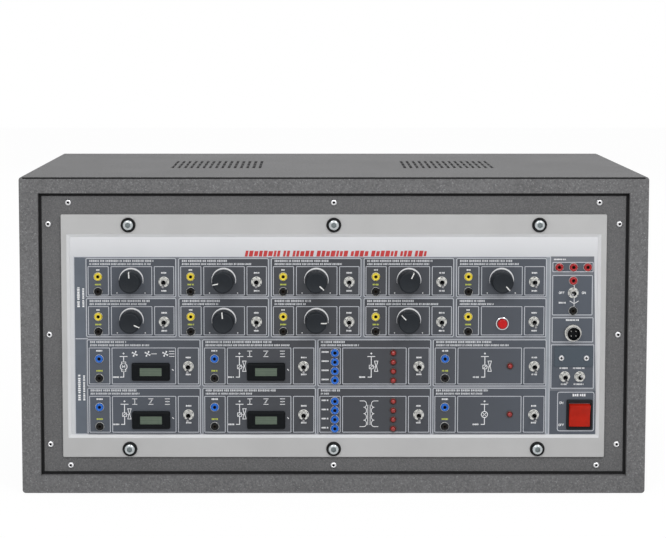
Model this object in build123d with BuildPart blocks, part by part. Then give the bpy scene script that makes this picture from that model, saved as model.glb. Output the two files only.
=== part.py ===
"""Automotive electronics trainer: a desktop steel case with a printed control panel in its front.

All sizes are in millimetres. +X is to the viewer's right, +Y runs rearwards and +Z is up.
The origin is the middle of the case's underside. Depths are counted rearwards from the front
of the case, so a negative depth lies ahead of it. Places on the panel are counted from its middle.
"""

import os

from build123d import *

# Case
CASE_WIDTH = 625.0
CASE_HEIGHT = 319.0
CASE_DEPTH = 310.0
SHEET = 1.5
CASE_CORNER = 3.4
FLANGE_SIDE = 18.6
FLANGE_TOP = 16.3
FLANGE_BOTTOM = 18.0

# Cooling slots in the top of the case
SLOT_COLUMNS = 15
SLOT_ROWS = 3
SLOT_WIDTH = 3.0
SLOT_LENGTH = 28.0
SLOT_PITCH = 6.57
SLOT_ROW_PITCH = 32.0
SLOT_MIDDLE_DEPTH = 154.0
SLOT_GROUP_X = 122.4

# Plates stacked in the front of the case
FRAME_DEPTH = 2.0
FRAME_WIDTH = 0.86912 * CASE_WIDTH
FRAME_HEIGHT = 0.768 * CASE_HEIGHT
FRAME_THICKNESS = 3.0
FRAME_SIDE_RAIL = 8.3
FRAME_RAIL = 22.4
FRAME_WINDOW_WIDTH = FRAME_WIDTH - 2 * FRAME_SIDE_RAIL
FRAME_WINDOW_HEIGHT = FRAME_HEIGHT - 2 * FRAME_RAIL
FRAME_BEVEL = 2.8
SUBFRAME_GAP = 3.1
SUBFRAME_THICKNESS = 2.0
SUBFRAME_SCREW_INSET = 6.4
SCREW_MARGIN = 48.25
TOP_SCREW_SPREAD = CASE_WIDTH / 2 - SCREW_MARGIN
SIDE_SCREW_SPREAD = CASE_HEIGHT / 2 - SCREW_MARGIN
PANEL_THICKNESS = 2.0
PANEL_LAP = 5.5
PANEL_GAP = 1.0
PANEL_DROP = 0.7
REAR_FLANGE = 16.0
REAR_PANEL_GAP = 0.5

# Bolts with cup washers that hold the light frame
BOLT_THREAD = 6.0
BOLT_CLEARANCE = 0.4
BOLT_HEAD = 10.9
BOLT_HEAD_HEIGHT = 3.0
BOLT_SOCKET = 4.0
BOLT_SOCKET_DEPTH = 1.8
BOLT_SIDES = 12
BOLT_TAIL = 3.0
BOLT_SIDE_MARGIN = 67.1
BOLT_TOP_MARGIN = 10.5
BOLT_BOTTOM_MARGIN = 8.3
BOLT_X = FRAME_WIDTH / 2 - BOLT_SIDE_MARGIN
BOLT_TOP = FRAME_HEIGHT / 2 - BOLT_TOP_MARGIN
BOLT_BOTTOM = BOLT_BOTTOM_MARGIN - FRAME_HEIGHT / 2
CUP_DIAMETER = 15.0
CUP_HEIGHT = 2.6
CUP_FLOOR = 0.8
CUP_CLEARANCE = 0.5
CUP_SIDES = 12
CUP_TAPER = 15.0

# Button-head screws of the subframe and the rear panel
SCREW_THREAD = 4.0
SCREW_CLEARANCE = 0.5
SCREW_HEAD = 7.0
SCREW_HEAD_HEIGHT = 2.2
SCREW_HEAD_SIDES = 8
SCREW_HEAD_TAPER = 25.0
SCREW_LENGTH = 8.0
SHANK_SIDES = 4
REAR_SCREW_MARGIN = 62.5
REAR_SCREW_SPREAD = CASE_WIDTH / 2 - REAR_SCREW_MARGIN

# Small M3 fasteners
SMALL_THREAD = 3.0
SMALL_CLEARANCE = 0.4
SMALL_HEAD = 5.6
SMALL_HEAD_HEIGHT = 2.0
SMALL_HEAD_SIDES = 8
SMALL_LENGTH = 6.0
SPACER_ACROSS = 5.5
SPACER_LENGTH = 23.0

# Middles of the outer modules, measured from the edges of the window
SENSOR_LEFT = 60.8
SENSOR_RIGHT = 96.0
SENSOR_TOP = 48.5
ACTUATOR_LEFT = 73.1
ACTUATOR_RIGHT = 107.0
ACTUATOR_BOTTOM = 23.6
ROWS_REACH = FRAME_WINDOW_HEIGHT - SENSOR_TOP - ACTUATOR_BOTTOM

# Sensor modules: two rows of five on the panel
SENSOR_COLUMNS = 5
SENSOR_ROWS = 2
SENSOR_X = SENSOR_LEFT - FRAME_WINDOW_WIDTH / 2
SENSOR_Z = FRAME_WINDOW_HEIGHT / 2 - SENSOR_TOP
SENSOR_PITCH_X = (FRAME_WINDOW_WIDTH - SENSOR_LEFT - SENSOR_RIGHT) / (SENSOR_COLUMNS - 1)
SENSOR_PITCH_Z = 0.3146 * ROWS_REACH
SENSOR_SOCKET_X = -32.85
SENSOR_YELLOW_Z = 8.2
SENSOR_BLACK_Z = -6.8
SENSOR_TOGGLE_X = 32.95
SENSOR_TOGGLE_Z = 3.0
SENSOR_KNOB_Z = 4.2

# Actuator modules: two rows of four on the panel
ACTUATOR_COLUMNS = 4
ACTUATOR_ROWS = 2
ACTUATOR_X = ACTUATOR_LEFT - FRAME_WINDOW_WIDTH / 2
ACTUATOR_PITCH_X = (FRAME_WINDOW_WIDTH - ACTUATOR_LEFT - ACTUATOR_RIGHT) / (ACTUATOR_COLUMNS - 1)
ACTUATOR_PITCH_Z = 0.3833 * ROWS_REACH
ACTUATOR_Z = ACTUATOR_BOTTOM - FRAME_WINDOW_HEIGHT / 2 + ACTUATOR_PITCH_Z
ACTUATOR_SOCKET_X = -44.7
ACTUATOR_BLUE_Z = 4.25
ACTUATOR_BLACK_Z = -15.4
STACK_COLUMN = 2
STACK_SOCKETS = 4
STACK_X = -39.6
STACK_TOP_Z = 10.3
STACK_PITCH = 9.3
STACK_LED_X = 18.9
SINGLE_LED_X = 20.4
SINGLE_LED_Z = -2.9
ACTUATOR_TOGGLE_X = 44.6
ACTUATOR_TOGGLE_Z = -3.4
METER_COLUMNS = 2
METER_X = 7.0
METER_Z = -8.8

# Supply column at the right of the panel
SUPPLY_RIGHT = 24.1
SUPPLY_TOP = 30.8
ROCKER_RIGHT = 16.5
ROCKER_BOTTOM = 20.3
SUPPLY_REACH = FRAME_WINDOW_HEIGHT - SUPPLY_TOP - ROCKER_BOTTOM
SUPPLY_X = FRAME_WINDOW_WIDTH / 2 - SUPPLY_RIGHT
SUPPLY_SOCKET_PITCH = 14.2
SUPPLY_SOCKET_Z = FRAME_WINDOW_HEIGHT / 2 - SUPPLY_TOP
SUPPLY_RED_Z = SUPPLY_SOCKET_Z - 0.0905 * SUPPLY_REACH
SUPPLY_TOGGLE_Z = SUPPLY_SOCKET_Z - 0.1724 * SUPPLY_REACH
SUPPLY_BLACK_Z = SUPPLY_SOCKET_Z - 0.2944 * SUPPLY_REACH
SUPPLY_CONNECTOR_Z = SUPPLY_SOCKET_Z - 0.4427 * SUPPLY_REACH
PAIR_TOGGLE_PITCH = 15.0
PAIR_TOGGLE_Z = SUPPLY_SOCKET_Z - 0.7411 * SUPPLY_REACH
COVER_SHIFT = 1.2
COVER_X = SUPPLY_X + COVER_SHIFT
COVER_Z = SUPPLY_SOCKET_Z - 0.6043 * SUPPLY_REACH
COVER_WIDTH = 39.2
COVER_HEIGHT = 20.7
COVER_THICKNESS = 1.0
COVER_SCREW_SPACING = 25.0
COVER_SCREW_DROP = 1.3
ROCKER_X = FRAME_WINDOW_WIDTH / 2 - ROCKER_RIGHT
ROCKER_Z = ROCKER_BOTTOM - FRAME_WINDOW_HEIGHT / 2

# Heads of the two-millimetre test sockets
SOCKET_SIDES = 8
SOCKET_HEAD = 8.4
SOCKET_HEAD_HEIGHT = 2.6
SOCKET_BORE = 2.3
SOCKET_BORE_DEPTH = 2.2

# Miniature toggle switches
TOGGLE_TILT = 12.0
TOGGLE_BUSHING = 6.0
TOGGLE_BUSHING_LENGTH = 8.0
TOGGLE_SIDES = 6
TOGGLE_BORE = 4.8
TOGGLE_BODY_WIDTH = 8.0
TOGGLE_BODY_HEIGHT = 13.0
TOGGLE_BODY_DEPTH = 10.0
TOGGLE_HOLE = 7.4
TOGGLE_NUT = 9.2
TOGGLE_NUT_HEIGHT = 2.0
TOGGLE_NUT_CLEARANCE = 0.2
LEVER_PIVOT = 4.0
LEVER_REACH = 10.4
LEVER_ROOT = 2.2
LEVER_TIP = 3.0
TRUNNION = 1.8
TRUNNION_CLEARANCE = 0.7

# Knobs and potentiometers
KNOB_SIDES = 20
KNOB_DIAMETER = 21.4
KNOB_HEIGHT = 17.0
KNOB_LIFT = 0.5
KNOB_MARK_WIDTH = 1.0
KNOB_MARK_LENGTH = 6.0
KNOB_MARK_DEPTH = 0.4
KNOB_MARKS = [-3, -101, 133, 24, 138, 114, -5, 90, -44]
SPINDLE = 6.0
SPINDLE_SIDES = 6
SPINDLE_FIT = 0.1
SPINDLE_FLOAT = 0.4
SPINDLE_TOP = 3.0
SPINDLE_FOOT = 2.0
POT_BUSHING = 8.4
POT_BODY = 16.0
POT_BODY_DEPTH = 9.0
POT_HOLE_CLEARANCE = 0.4

# Push button
BUTTON_OFFSET_X = 1.2
BUTTON_OFFSET_Z = 1.4
BUTTON_SIDES = 12
BUTTON_CAP = 9.5
BUTTON_PROUD = 5.5
BUTTON_TRAVEL = 3.0
BUTTON_GAP = 0.35
BUTTON_STEM = 4.0
BUTTON_RING = 13.5
BUTTON_RING_HEIGHT = 2.5
BUTTON_BARREL = 11.8
BUTTON_BARREL_DEPTH = 12.0
BUTTON_CAP_BEVEL = 0.8

# Meters
METER_WIDTH = 38.2
METER_HEIGHT = 17.9
METER_PROUD = 3.0
METER_BEVEL = 1.0
METER_WINDOW_WIDTH = 22.0
METER_WINDOW_HEIGHT = 8.1
METER_GLASS_RECESS = 0.6
METER_GLASS = 1.0
METER_BODY_INSET = 2.0
METER_BODY_DEPTH = 8.0
METER_CLEARANCE = 0.3

# Indicator lamps
LED_SIDES = 8
LED_LENS = 5.0
LED_PROUD = 3.4
LED_DOME = 1.1
LED_FOOT = 4.0
LED_RING = 7.2
LED_RING_HEIGHT = 1.2
LED_CLEARANCE = 0.3

# Round four-pin connector
CONNECTOR_SIDES = 12
CONNECTOR_BARREL = 14.4
CONNECTOR_COLLAR = 17.3
CONNECTOR_COLLAR_HEIGHT = 3.0
CONNECTOR_PROUD = 8.0
CONNECTOR_BACK = 10.0
CONNECTOR_BORE = 11.6
CONNECTOR_CAVITY = 6.0
CONNECTOR_END = 1.5
CONNECTOR_CLEARANCE = 0.2
CONNECTOR_HOLE_CLEARANCE = 0.4
CONNECTOR_PINS = 4
CONNECTOR_PIN = 1.5
CONNECTOR_PIN_LENGTH = 4.0
CONNECTOR_PIN_CIRCLE = 3.4

# Power rocker
BEZEL_WIDTH = 26.1
BEZEL_HEIGHT = 30.6
BEZEL_PROUD = 2.0
BEZEL_BEVEL = 0.8
HOUSING_WIDTH = 24.0
HOUSING_HEIGHT = 28.0
HOUSING_DEPTH = 20.0
HOUSING_CLEARANCE = 0.3
ROCKER_WIDTH = 21.0
ROCKER_HEIGHT = 22.6
ROCKER_SIDE_GAP = 0.3
ROCKER_END_GAP = 1.0
ROCKER_PIVOT_DEPTH = 1.0
ROCKER_TILT = 10.0
ROCKER_VALLEY = 3.6
ROCKER_BACK = 4.0
ROCKER_CAVITY = 9.0
ROCKER_PIN = 3.0
ROCKER_PIN_LENGTH = 0.9
ROCKER_PIN_CLEARANCE = 0.4
ROCKER_PIN_SIDES = 12

# Mains inlet in the rear panel
INLET_RIGHT = 87.5
INLET_X = CASE_WIDTH / 2 - INLET_RIGHT
INLET_Z = 46.0
INLET_FLANGE_WIDTH = 50.0
INLET_FLANGE_HEIGHT = 22.6
INLET_FLANGE = 3.0
INLET_FLANGE_CORNER = 4.0
INLET_SCREW_SPACING = 40.0
INLET_BODY_WIDTH = 27.4
INLET_BODY_HEIGHT = 19.8
INLET_BODY_CORNER = 4.0
INLET_BODY_DEPTH = 20.0
INLET_CAVITY_WIDTH = 24.4
INLET_CAVITY_HEIGHT = 16.4
INLET_CAVITY_CORNER = 3.6
INLET_CAVITY_DEPTH = 17.0
INLET_CLEARANCE = 0.3
BLADE_WIDTH = 2.0
BLADE_HEIGHT = 4.0
BLADE_LENGTH = 14.0
BLADE_SPREAD = 7.0
BLADE_OFFSET = 2.0

# Inside the case
BOARD_SIDE_MARGIN = 30.3
BOARD_RISE_MARGIN = 1.1
BOARD_WIDTH = FRAME_WINDOW_WIDTH - 2 * BOARD_SIDE_MARGIN
BOARD_HEIGHT = FRAME_WINDOW_HEIGHT - 2 * BOARD_RISE_MARGIN
BOARD_THICKNESS = 1.6
BOARD_X = -20.0
SPACER_EDGE = 8.0
SUPPLY_BOX_WIDTH = 160.0
SUPPLY_BOX_LENGTH = 98.0
SUPPLY_BOX_HEIGHT = 38.0
SUPPLY_BOX_X = -120.0
SUPPLY_BOX_DEPTH = 225.0
SUPPLY_BOX_TAB = 10.0
SUPPLY_BOX_TAB_THICKNESS = 1.5
TAB_SCREW_LENGTH = 2.5
SUPPLY_BOX_TERMINAL = 12.0

# Worked out from the sizes above
FRONT_Y = -CASE_DEPTH / 2
MIDDLE_Z = CASE_HEIGHT / 2
PANEL_Z = MIDDLE_Z - PANEL_DROP
WINDOW_WIDTH = CASE_WIDTH - 2 * FLANGE_SIDE
WINDOW_HEIGHT = CASE_HEIGHT - FLANGE_TOP - FLANGE_BOTTOM
WINDOW_Z = MIDDLE_Z + (FLANGE_BOTTOM - FLANGE_TOP) / 2
SUBFRAME_DEPTH = FRAME_DEPTH + FRAME_THICKNESS
SUBFRAME_WIDTH = WINDOW_WIDTH - 2 * SUBFRAME_GAP
SUBFRAME_HEIGHT = WINDOW_HEIGHT - 2 * SUBFRAME_GAP
SUBFRAME_BACK = SUBFRAME_DEPTH + SUBFRAME_THICKNESS
LEDGE_BACK = SUBFRAME_BACK + SHEET
LEDGE = SUBFRAME_GAP + 2 * SUBFRAME_SCREW_INSET
PANEL_WIDTH = FRAME_WINDOW_WIDTH + 2 * PANEL_LAP
PANEL_HEIGHT = FRAME_WINDOW_HEIGHT + 2 * PANEL_LAP
PANEL_FRONT = SUBFRAME_DEPTH
PANEL_BACK = PANEL_FRONT + PANEL_THICKNESS
REAR_PANEL_DEPTH = CASE_DEPTH - SHEET
INNER_WIDTH = CASE_WIDTH - 2 * SHEET
INNER_HEIGHT = CASE_HEIGHT - 2 * SHEET
TOGGLE_MOUTH = PANEL_BACK - TOGGLE_BUSHING_LENGTH
ROCKER_AXIS = PANEL_FRONT + ROCKER_PIVOT_DEPTH
BOARD_FRONT = PANEL_BACK + SPACER_LENGTH
BOLT_HOLE = BOLT_THREAD + BOLT_CLEARANCE
SCREW_HOLE = SCREW_THREAD + SCREW_CLEARANCE
SMALL_HOLE = SMALL_THREAD + SMALL_CLEARANCE

os.makedirs("parts", exist_ok=True)


def facing(depth, x=0.0, z=MIDDLE_Z):
    """A plane that faces the viewer at this depth: its X runs right and its Y runs up."""
    return Plane(origin=(x, FRONT_Y + depth, z), x_dir=(1, 0, 0), z_dir=(0, -1, 0))


def panel_plane(depth):
    """The same plane with its origin at the middle of the panel."""
    return facing(depth, z=PANEL_Z)


# Places on the panel
sensor_places = [
    (SENSOR_X + SENSOR_PITCH_X * column, SENSOR_Z - SENSOR_PITCH_Z * row)
    for row in range(SENSOR_ROWS)
    for column in range(SENSOR_COLUMNS)
]
actuator_places = [
    (ACTUATOR_X + ACTUATOR_PITCH_X * column, ACTUATOR_Z - ACTUATOR_PITCH_Z * row)
    for row in range(ACTUATOR_ROWS)
    for column in range(ACTUATOR_COLUMNS)
]
single_modules = [
    place
    for number, place in enumerate(actuator_places)
    if number % ACTUATOR_COLUMNS != STACK_COLUMN
]
stack_modules = [
    place
    for number, place in enumerate(actuator_places)
    if number % ACTUATOR_COLUMNS == STACK_COLUMN
]
meter_modules = [
    place
    for number, place in enumerate(actuator_places)
    if number % ACTUATOR_COLUMNS < METER_COLUMNS
]
lamp_modules = [
    place
    for number, place in enumerate(actuator_places)
    if number % ACTUATOR_COLUMNS > STACK_COLUMN
]
stack_steps = [STACK_TOP_Z - STACK_PITCH * step for step in range(STACK_SOCKETS)]

knob_places = [(x, z + SENSOR_KNOB_Z) for x, z in sensor_places[: len(KNOB_MARKS)]]
button_place = (sensor_places[-1][0] + BUTTON_OFFSET_X, sensor_places[-1][1] + BUTTON_OFFSET_Z)
yellow_places = [(x + SENSOR_SOCKET_X, z + SENSOR_YELLOW_Z) for x, z in sensor_places]
blue_places = [(x + ACTUATOR_SOCKET_X, z + ACTUATOR_BLUE_Z) for x, z in single_modules]
blue_places += [(x + STACK_X, z + step) for x, z in stack_modules for step in stack_steps]
black_places = [(x + SENSOR_SOCKET_X, z + SENSOR_BLACK_Z) for x, z in sensor_places]
black_places += [(x + ACTUATOR_SOCKET_X, z + ACTUATOR_BLACK_Z) for x, z in single_modules]
black_places += [(SUPPLY_X, SUPPLY_BLACK_Z)]
red_places = [(SUPPLY_X + SUPPLY_SOCKET_PITCH * side, SUPPLY_SOCKET_Z) for side in (-1, 0, 1)]
red_places += [(SUPPLY_X, SUPPLY_RED_Z)]
led_places = [(x + STACK_LED_X, z + step) for x, z in stack_modules for step in stack_steps]
led_places += [(x + SINGLE_LED_X, z + SINGLE_LED_Z) for x, z in lamp_modules]
meter_places = [(x + METER_X, z + METER_Z) for x, z in meter_modules]
cover_screws = [
    (COVER_X + side * COVER_SCREW_SPACING / 2, COVER_Z - COVER_SCREW_DROP) for side in (-1, 1)
]
bolt_places = [(side * BOLT_X, rise) for side in (-1, 0, 1) for rise in (BOLT_TOP, BOLT_BOTTOM)]

# Toggles: each has a place and the way its lever points at rest, as steps to the right and up
toggle_places = [((x + SENSOR_TOGGLE_X, z + SENSOR_TOGGLE_Z), (0, -1)) for x, z in sensor_places]
toggle_places += [
    ((x + ACTUATOR_TOGGLE_X, z + ACTUATOR_TOGGLE_Z), (0, -1)) for x, z in actuator_places
]
toggle_places += [
    ((SUPPLY_X, SUPPLY_TOGGLE_Z), (-1, 0)),
    ((SUPPLY_X - PAIR_TOGGLE_PITCH / 2, PAIR_TOGGLE_Z), (0, -1)),
    ((SUPPLY_X + PAIR_TOGGLE_PITCH / 2, PAIR_TOGGLE_Z), (0, 1)),
]
toggle_centres = [place for place, way in toggle_places]

# Places in the frame of the case
subframe_reach_x = SUBFRAME_WIDTH / 2 - SUBFRAME_SCREW_INSET
subframe_reach_z = SUBFRAME_HEIGHT / 2 - SUBFRAME_SCREW_INSET
subframe_screws = [(x, z) for z in (-subframe_reach_z, subframe_reach_z)
                   for x in (-TOP_SCREW_SPREAD, 0, TOP_SCREW_SPREAD)]
subframe_screws += [(x, z) for x in (-subframe_reach_x, subframe_reach_x)
                    for z in (-SIDE_SCREW_SPREAD, 0, SIDE_SCREW_SPREAD)]
rear_reach_z = INNER_HEIGHT / 2 - REAR_FLANGE / 2
rear_screws = [(x, z) for z in (-rear_reach_z, rear_reach_z)
               for x in (-REAR_SCREW_SPREAD, REAR_SCREW_SPREAD)]
spacer_rise = BOARD_HEIGHT / 2 - SPACER_EDGE
spacer_spread = BOARD_WIDTH / 2 - SPACER_EDGE
spacer_places = [(x, z) for x in (BOARD_X - spacer_spread, BOARD_X + spacer_spread)
                 for z in (-spacer_rise, spacer_rise)]
tab_spread = SUPPLY_BOX_WIDTH / 2 + SUPPLY_BOX_TAB / 2
tab_screws = [(SUPPLY_BOX_X + side * tab_spread, FRONT_Y + SUPPLY_BOX_DEPTH) for side in (-1, 1)]
slot_places = [(side * SLOT_GROUP_X, FRONT_Y + SLOT_MIDDLE_DEPTH) for side in (-1, 1)]

# Case shell: a folded sleeve, its front flange, the lip and ledge behind it, and the rear flange
with BuildPart() as case_shell:
    with BuildSketch(facing(0)):
        RectangleRounded(CASE_WIDTH, CASE_HEIGHT, CASE_CORNER)
    extrude(amount=-CASE_DEPTH)
    with BuildSketch(facing(SHEET)) as hollow:
        Rectangle(INNER_WIDTH, INNER_HEIGHT)
        chamfer(hollow.vertices(), CASE_CORNER - SHEET)
    extrude(amount=-CASE_DEPTH, mode=Mode.SUBTRACT)
    with BuildSketch(facing(SHEET, z=WINDOW_Z)):
        Rectangle(WINDOW_WIDTH + 2 * SHEET, WINDOW_HEIGHT + 2 * SHEET)
    extrude(amount=SHEET - LEDGE_BACK)
    with BuildSketch(facing(0, z=WINDOW_Z)):
        Rectangle(WINDOW_WIDTH, WINDOW_HEIGHT)
    extrude(amount=-SUBFRAME_BACK, mode=Mode.SUBTRACT)
    with BuildSketch(facing(SUBFRAME_BACK, z=WINDOW_Z)):
        Rectangle(WINDOW_WIDTH - 2 * LEDGE, WINDOW_HEIGHT - 2 * LEDGE)
        with Locations(*subframe_screws):
            Rectangle(SCREW_HOLE, SCREW_HOLE)
    extrude(amount=-SHEET, mode=Mode.SUBTRACT)
    with BuildSketch(facing(REAR_PANEL_DEPTH - SHEET)):
        Rectangle(INNER_WIDTH, INNER_HEIGHT)
        Rectangle(INNER_WIDTH - 2 * REAR_FLANGE, INNER_HEIGHT - 2 * REAR_FLANGE, mode=Mode.SUBTRACT)
        with Locations(*rear_screws):
            Rectangle(SCREW_HOLE, SCREW_HOLE, mode=Mode.SUBTRACT)
    extrude(amount=-SHEET)
    with BuildSketch(Plane.XY.offset(CASE_HEIGHT - SHEET)):
        with Locations(*slot_places):
            with GridLocations(SLOT_PITCH, SLOT_ROW_PITCH, SLOT_COLUMNS, SLOT_ROWS):
                Rectangle(SLOT_WIDTH, SLOT_LENGTH)
    extrude(amount=SHEET, mode=Mode.SUBTRACT)
    with BuildSketch(Plane.XY):
        with Locations(*tab_screws):
            Rectangle(SMALL_HOLE, SMALL_HOLE)
    extrude(amount=SHEET, mode=Mode.SUBTRACT)

case_shell.part.label = "case_shell"
export_step(case_shell.part, "parts/case_shell.step")

# Rear panel: closes the back of the sleeve and carries the mains inlet
with BuildPart() as rear_panel:
    with BuildSketch(facing(REAR_PANEL_DEPTH)) as rear_outline:
        Rectangle(INNER_WIDTH - 2 * REAR_PANEL_GAP, INNER_HEIGHT - 2 * REAR_PANEL_GAP)
        chamfer(rear_outline.vertices(), CASE_CORNER - SHEET)
        with Locations(*rear_screws):
            Rectangle(SCREW_HOLE, SCREW_HOLE, mode=Mode.SUBTRACT)
        with Locations((INLET_X, INLET_Z - MIDDLE_Z)):
            Rectangle(
                INLET_BODY_WIDTH + 2 * INLET_CLEARANCE,
                INLET_BODY_HEIGHT + 2 * INLET_CLEARANCE,
                mode=Mode.SUBTRACT,
            )
            with GridLocations(INLET_SCREW_SPACING, 0, 2, 1):
                Rectangle(SMALL_HOLE, SMALL_HOLE, mode=Mode.SUBTRACT)
    extrude(amount=-SHEET)

rear_panel.part.label = "rear_panel"
export_step(rear_panel.part, "parts/rear_panel.step")

# Front subframe: the dark plate that fills the front of the case
with BuildPart() as front_subframe:
    with BuildSketch(facing(SUBFRAME_DEPTH, z=WINDOW_Z)):
        Rectangle(SUBFRAME_WIDTH, SUBFRAME_HEIGHT)
        with Locations(*subframe_screws):
            Rectangle(SCREW_HOLE, SCREW_HOLE, mode=Mode.SUBTRACT)
    extrude(amount=-SUBFRAME_THICKNESS)
    with BuildSketch(panel_plane(SUBFRAME_DEPTH)):
        Rectangle(PANEL_WIDTH + 2 * PANEL_GAP, PANEL_HEIGHT + 2 * PANEL_GAP)
        with Locations(*bolt_places):
            Rectangle(BOLT_HOLE, BOLT_HOLE)
    extrude(amount=-SUBFRAME_THICKNESS, mode=Mode.SUBTRACT)

front_subframe.part.label = "front_subframe"
export_step(front_subframe.part, "parts/front_subframe.step")

# Panel frame: the light plate with the bevelled window round the printed panel
with BuildPart() as panel_frame:
    with BuildSketch(panel_plane(FRAME_DEPTH)):
        Rectangle(FRAME_WIDTH, FRAME_HEIGHT)
        with Locations(*bolt_places):
            Rectangle(BOLT_HOLE, BOLT_HOLE, mode=Mode.SUBTRACT)
    extrude(amount=-FRAME_THICKNESS)
    with BuildSketch(panel_plane(FRAME_DEPTH)):
        Rectangle(FRAME_WINDOW_WIDTH, FRAME_WINDOW_HEIGHT)
    extrude(amount=-FRAME_THICKNESS, mode=Mode.SUBTRACT)
    window_edges = (
        panel_frame.faces().sort_by(Axis.Y)[0].inner_wires().sort_by(SortBy.LENGTH)[-1].edges()
    )
    chamfer(window_edges, FRAME_BEVEL)

panel_frame.part.label = "panel_frame"
export_step(panel_frame.part, "parts/panel_frame.step")

# Control panel: the printed plate that carries every control
with BuildPart() as control_panel:
    with BuildSketch(panel_plane(PANEL_FRONT)):
        Rectangle(PANEL_WIDTH, PANEL_HEIGHT)
    extrude(amount=-PANEL_THICKNESS)
    with BuildSketch(panel_plane(PANEL_FRONT)):
        with Locations(*toggle_centres):
            Rectangle(TOGGLE_HOLE, TOGGLE_HOLE)
        with Locations(*knob_places):
            Rectangle(POT_BUSHING + POT_HOLE_CLEARANCE, POT_BUSHING + POT_HOLE_CLEARANCE)
        with Locations(*led_places):
            Rectangle(LED_LENS + LED_CLEARANCE, LED_LENS + LED_CLEARANCE)
        with Locations(*meter_places):
            Rectangle(
                METER_WIDTH - 2 * METER_BODY_INSET + METER_CLEARANCE,
                METER_HEIGHT - 2 * METER_BODY_INSET + METER_CLEARANCE,
            )
        with Locations(button_place):
            RegularPolygon(BUTTON_BARREL / 2 + BUTTON_GAP, BUTTON_SIDES)
        with Locations((SUPPLY_X, SUPPLY_CONNECTOR_Z)):
            RegularPolygon((CONNECTOR_BARREL + CONNECTOR_HOLE_CLEARANCE) / 2, CONNECTOR_SIDES)
        with Locations((ROCKER_X, ROCKER_Z)):
            Rectangle(HOUSING_WIDTH + HOUSING_CLEARANCE, HOUSING_HEIGHT + HOUSING_CLEARANCE)
        with Locations(*cover_screws):
            Rectangle(SMALL_HOLE, SMALL_HOLE)
    extrude(amount=-PANEL_THICKNESS, mode=Mode.SUBTRACT)

control_panel.part.label = "control_panel"
export_step(control_panel.part, "parts/control_panel.step")

# Cup washers: black cups that seat the bolt heads on the light frame
with BuildPart() as cup_washers:
    with BuildSketch(panel_plane(FRAME_DEPTH)):
        with Locations(*bolt_places):
            RegularPolygon(CUP_DIAMETER / 2, CUP_SIDES)
    extrude(amount=CUP_HEIGHT, taper=CUP_TAPER)
    with BuildSketch(panel_plane(FRAME_DEPTH - CUP_FLOOR)):
        with Locations(*bolt_places):
            RegularPolygon(BOLT_HEAD / 2 + CUP_CLEARANCE, CUP_SIDES)
    extrude(amount=CUP_HEIGHT, mode=Mode.SUBTRACT)
    with BuildSketch(panel_plane(FRAME_DEPTH)):
        with Locations(*bolt_places):
            Rectangle(BOLT_HOLE, BOLT_HOLE)
    extrude(amount=CUP_FLOOR, mode=Mode.SUBTRACT)

cup_washers.part.label = "cup_washers"
export_step(cup_washers.part, "parts/cup_washers.step")

# Panel bolts: socket heads in the cups, shanks through the frame and the subframe
with BuildPart() as panel_bolts:
    with BuildSketch(panel_plane(FRAME_DEPTH - CUP_FLOOR)):
        with Locations(*bolt_places):
            RegularPolygon(BOLT_HEAD / 2, BOLT_SIDES)
    extrude(amount=BOLT_HEAD_HEIGHT)
    with BuildSketch(panel_plane(FRAME_DEPTH - CUP_FLOOR - BOLT_HEAD_HEIGHT)):
        with Locations(*bolt_places):
            RegularPolygon(BOLT_SOCKET / 2, 6, major_radius=False)
    extrude(amount=-BOLT_SOCKET_DEPTH, mode=Mode.SUBTRACT)
    with BuildSketch(panel_plane(FRAME_DEPTH - CUP_FLOOR)):
        with Locations(*bolt_places):
            RegularPolygon(BOLT_THREAD / 2, SHANK_SIDES)
    extrude(amount=FRAME_DEPTH - CUP_FLOOR - SUBFRAME_BACK - BOLT_TAIL)

panel_bolts.part.label = "panel_bolts"
export_step(panel_bolts.part, "parts/panel_bolts.step")

# Case screws: button heads round the subframe and round the rear panel
with BuildPart() as case_screws:
    with BuildSketch(facing(SUBFRAME_DEPTH, z=WINDOW_Z)):
        with Locations(*subframe_screws):
            RegularPolygon(SCREW_HEAD / 2, SCREW_HEAD_SIDES)
    extrude(amount=SCREW_HEAD_HEIGHT, taper=SCREW_HEAD_TAPER)
    with BuildSketch(facing(SUBFRAME_DEPTH, z=WINDOW_Z)):
        with Locations(*subframe_screws):
            RegularPolygon(SCREW_THREAD / 2, SHANK_SIDES)
    extrude(amount=-SCREW_LENGTH)
    with BuildSketch(facing(CASE_DEPTH)):
        with Locations(*rear_screws):
            RegularPolygon(SCREW_HEAD / 2, SCREW_HEAD_SIDES)
    extrude(amount=-SCREW_HEAD_HEIGHT, taper=SCREW_HEAD_TAPER)
    with BuildSketch(facing(CASE_DEPTH)):
        with Locations(*rear_screws):
            RegularPolygon(SCREW_THREAD / 2, SHANK_SIDES)
    extrude(amount=SCREW_LENGTH)

case_screws.part.label = "case_screws"
export_step(case_screws.part, "parts/case_screws.step")


def socket_group(places):
    """Heads of test sockets at these places on the panel, with their blind bores."""
    with BuildPart() as sockets:
        with BuildSketch(panel_plane(PANEL_FRONT)):
            with Locations(*places):
                RegularPolygon(SOCKET_HEAD / 2, SOCKET_SIDES)
        extrude(amount=SOCKET_HEAD_HEIGHT)
        with BuildSketch(panel_plane(PANEL_FRONT - SOCKET_HEAD_HEIGHT)):
            with Locations(*places):
                Rectangle(SOCKET_BORE, SOCKET_BORE)
        extrude(amount=-SOCKET_BORE_DEPTH, mode=Mode.SUBTRACT)
    return sockets.part


yellow_sockets = socket_group(yellow_places)
yellow_sockets.label = "yellow_sockets"
export_step(yellow_sockets, "parts/yellow_sockets.step")

blue_sockets = socket_group(blue_places)
blue_sockets.label = "blue_sockets"
export_step(blue_sockets, "parts/blue_sockets.step")

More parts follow.
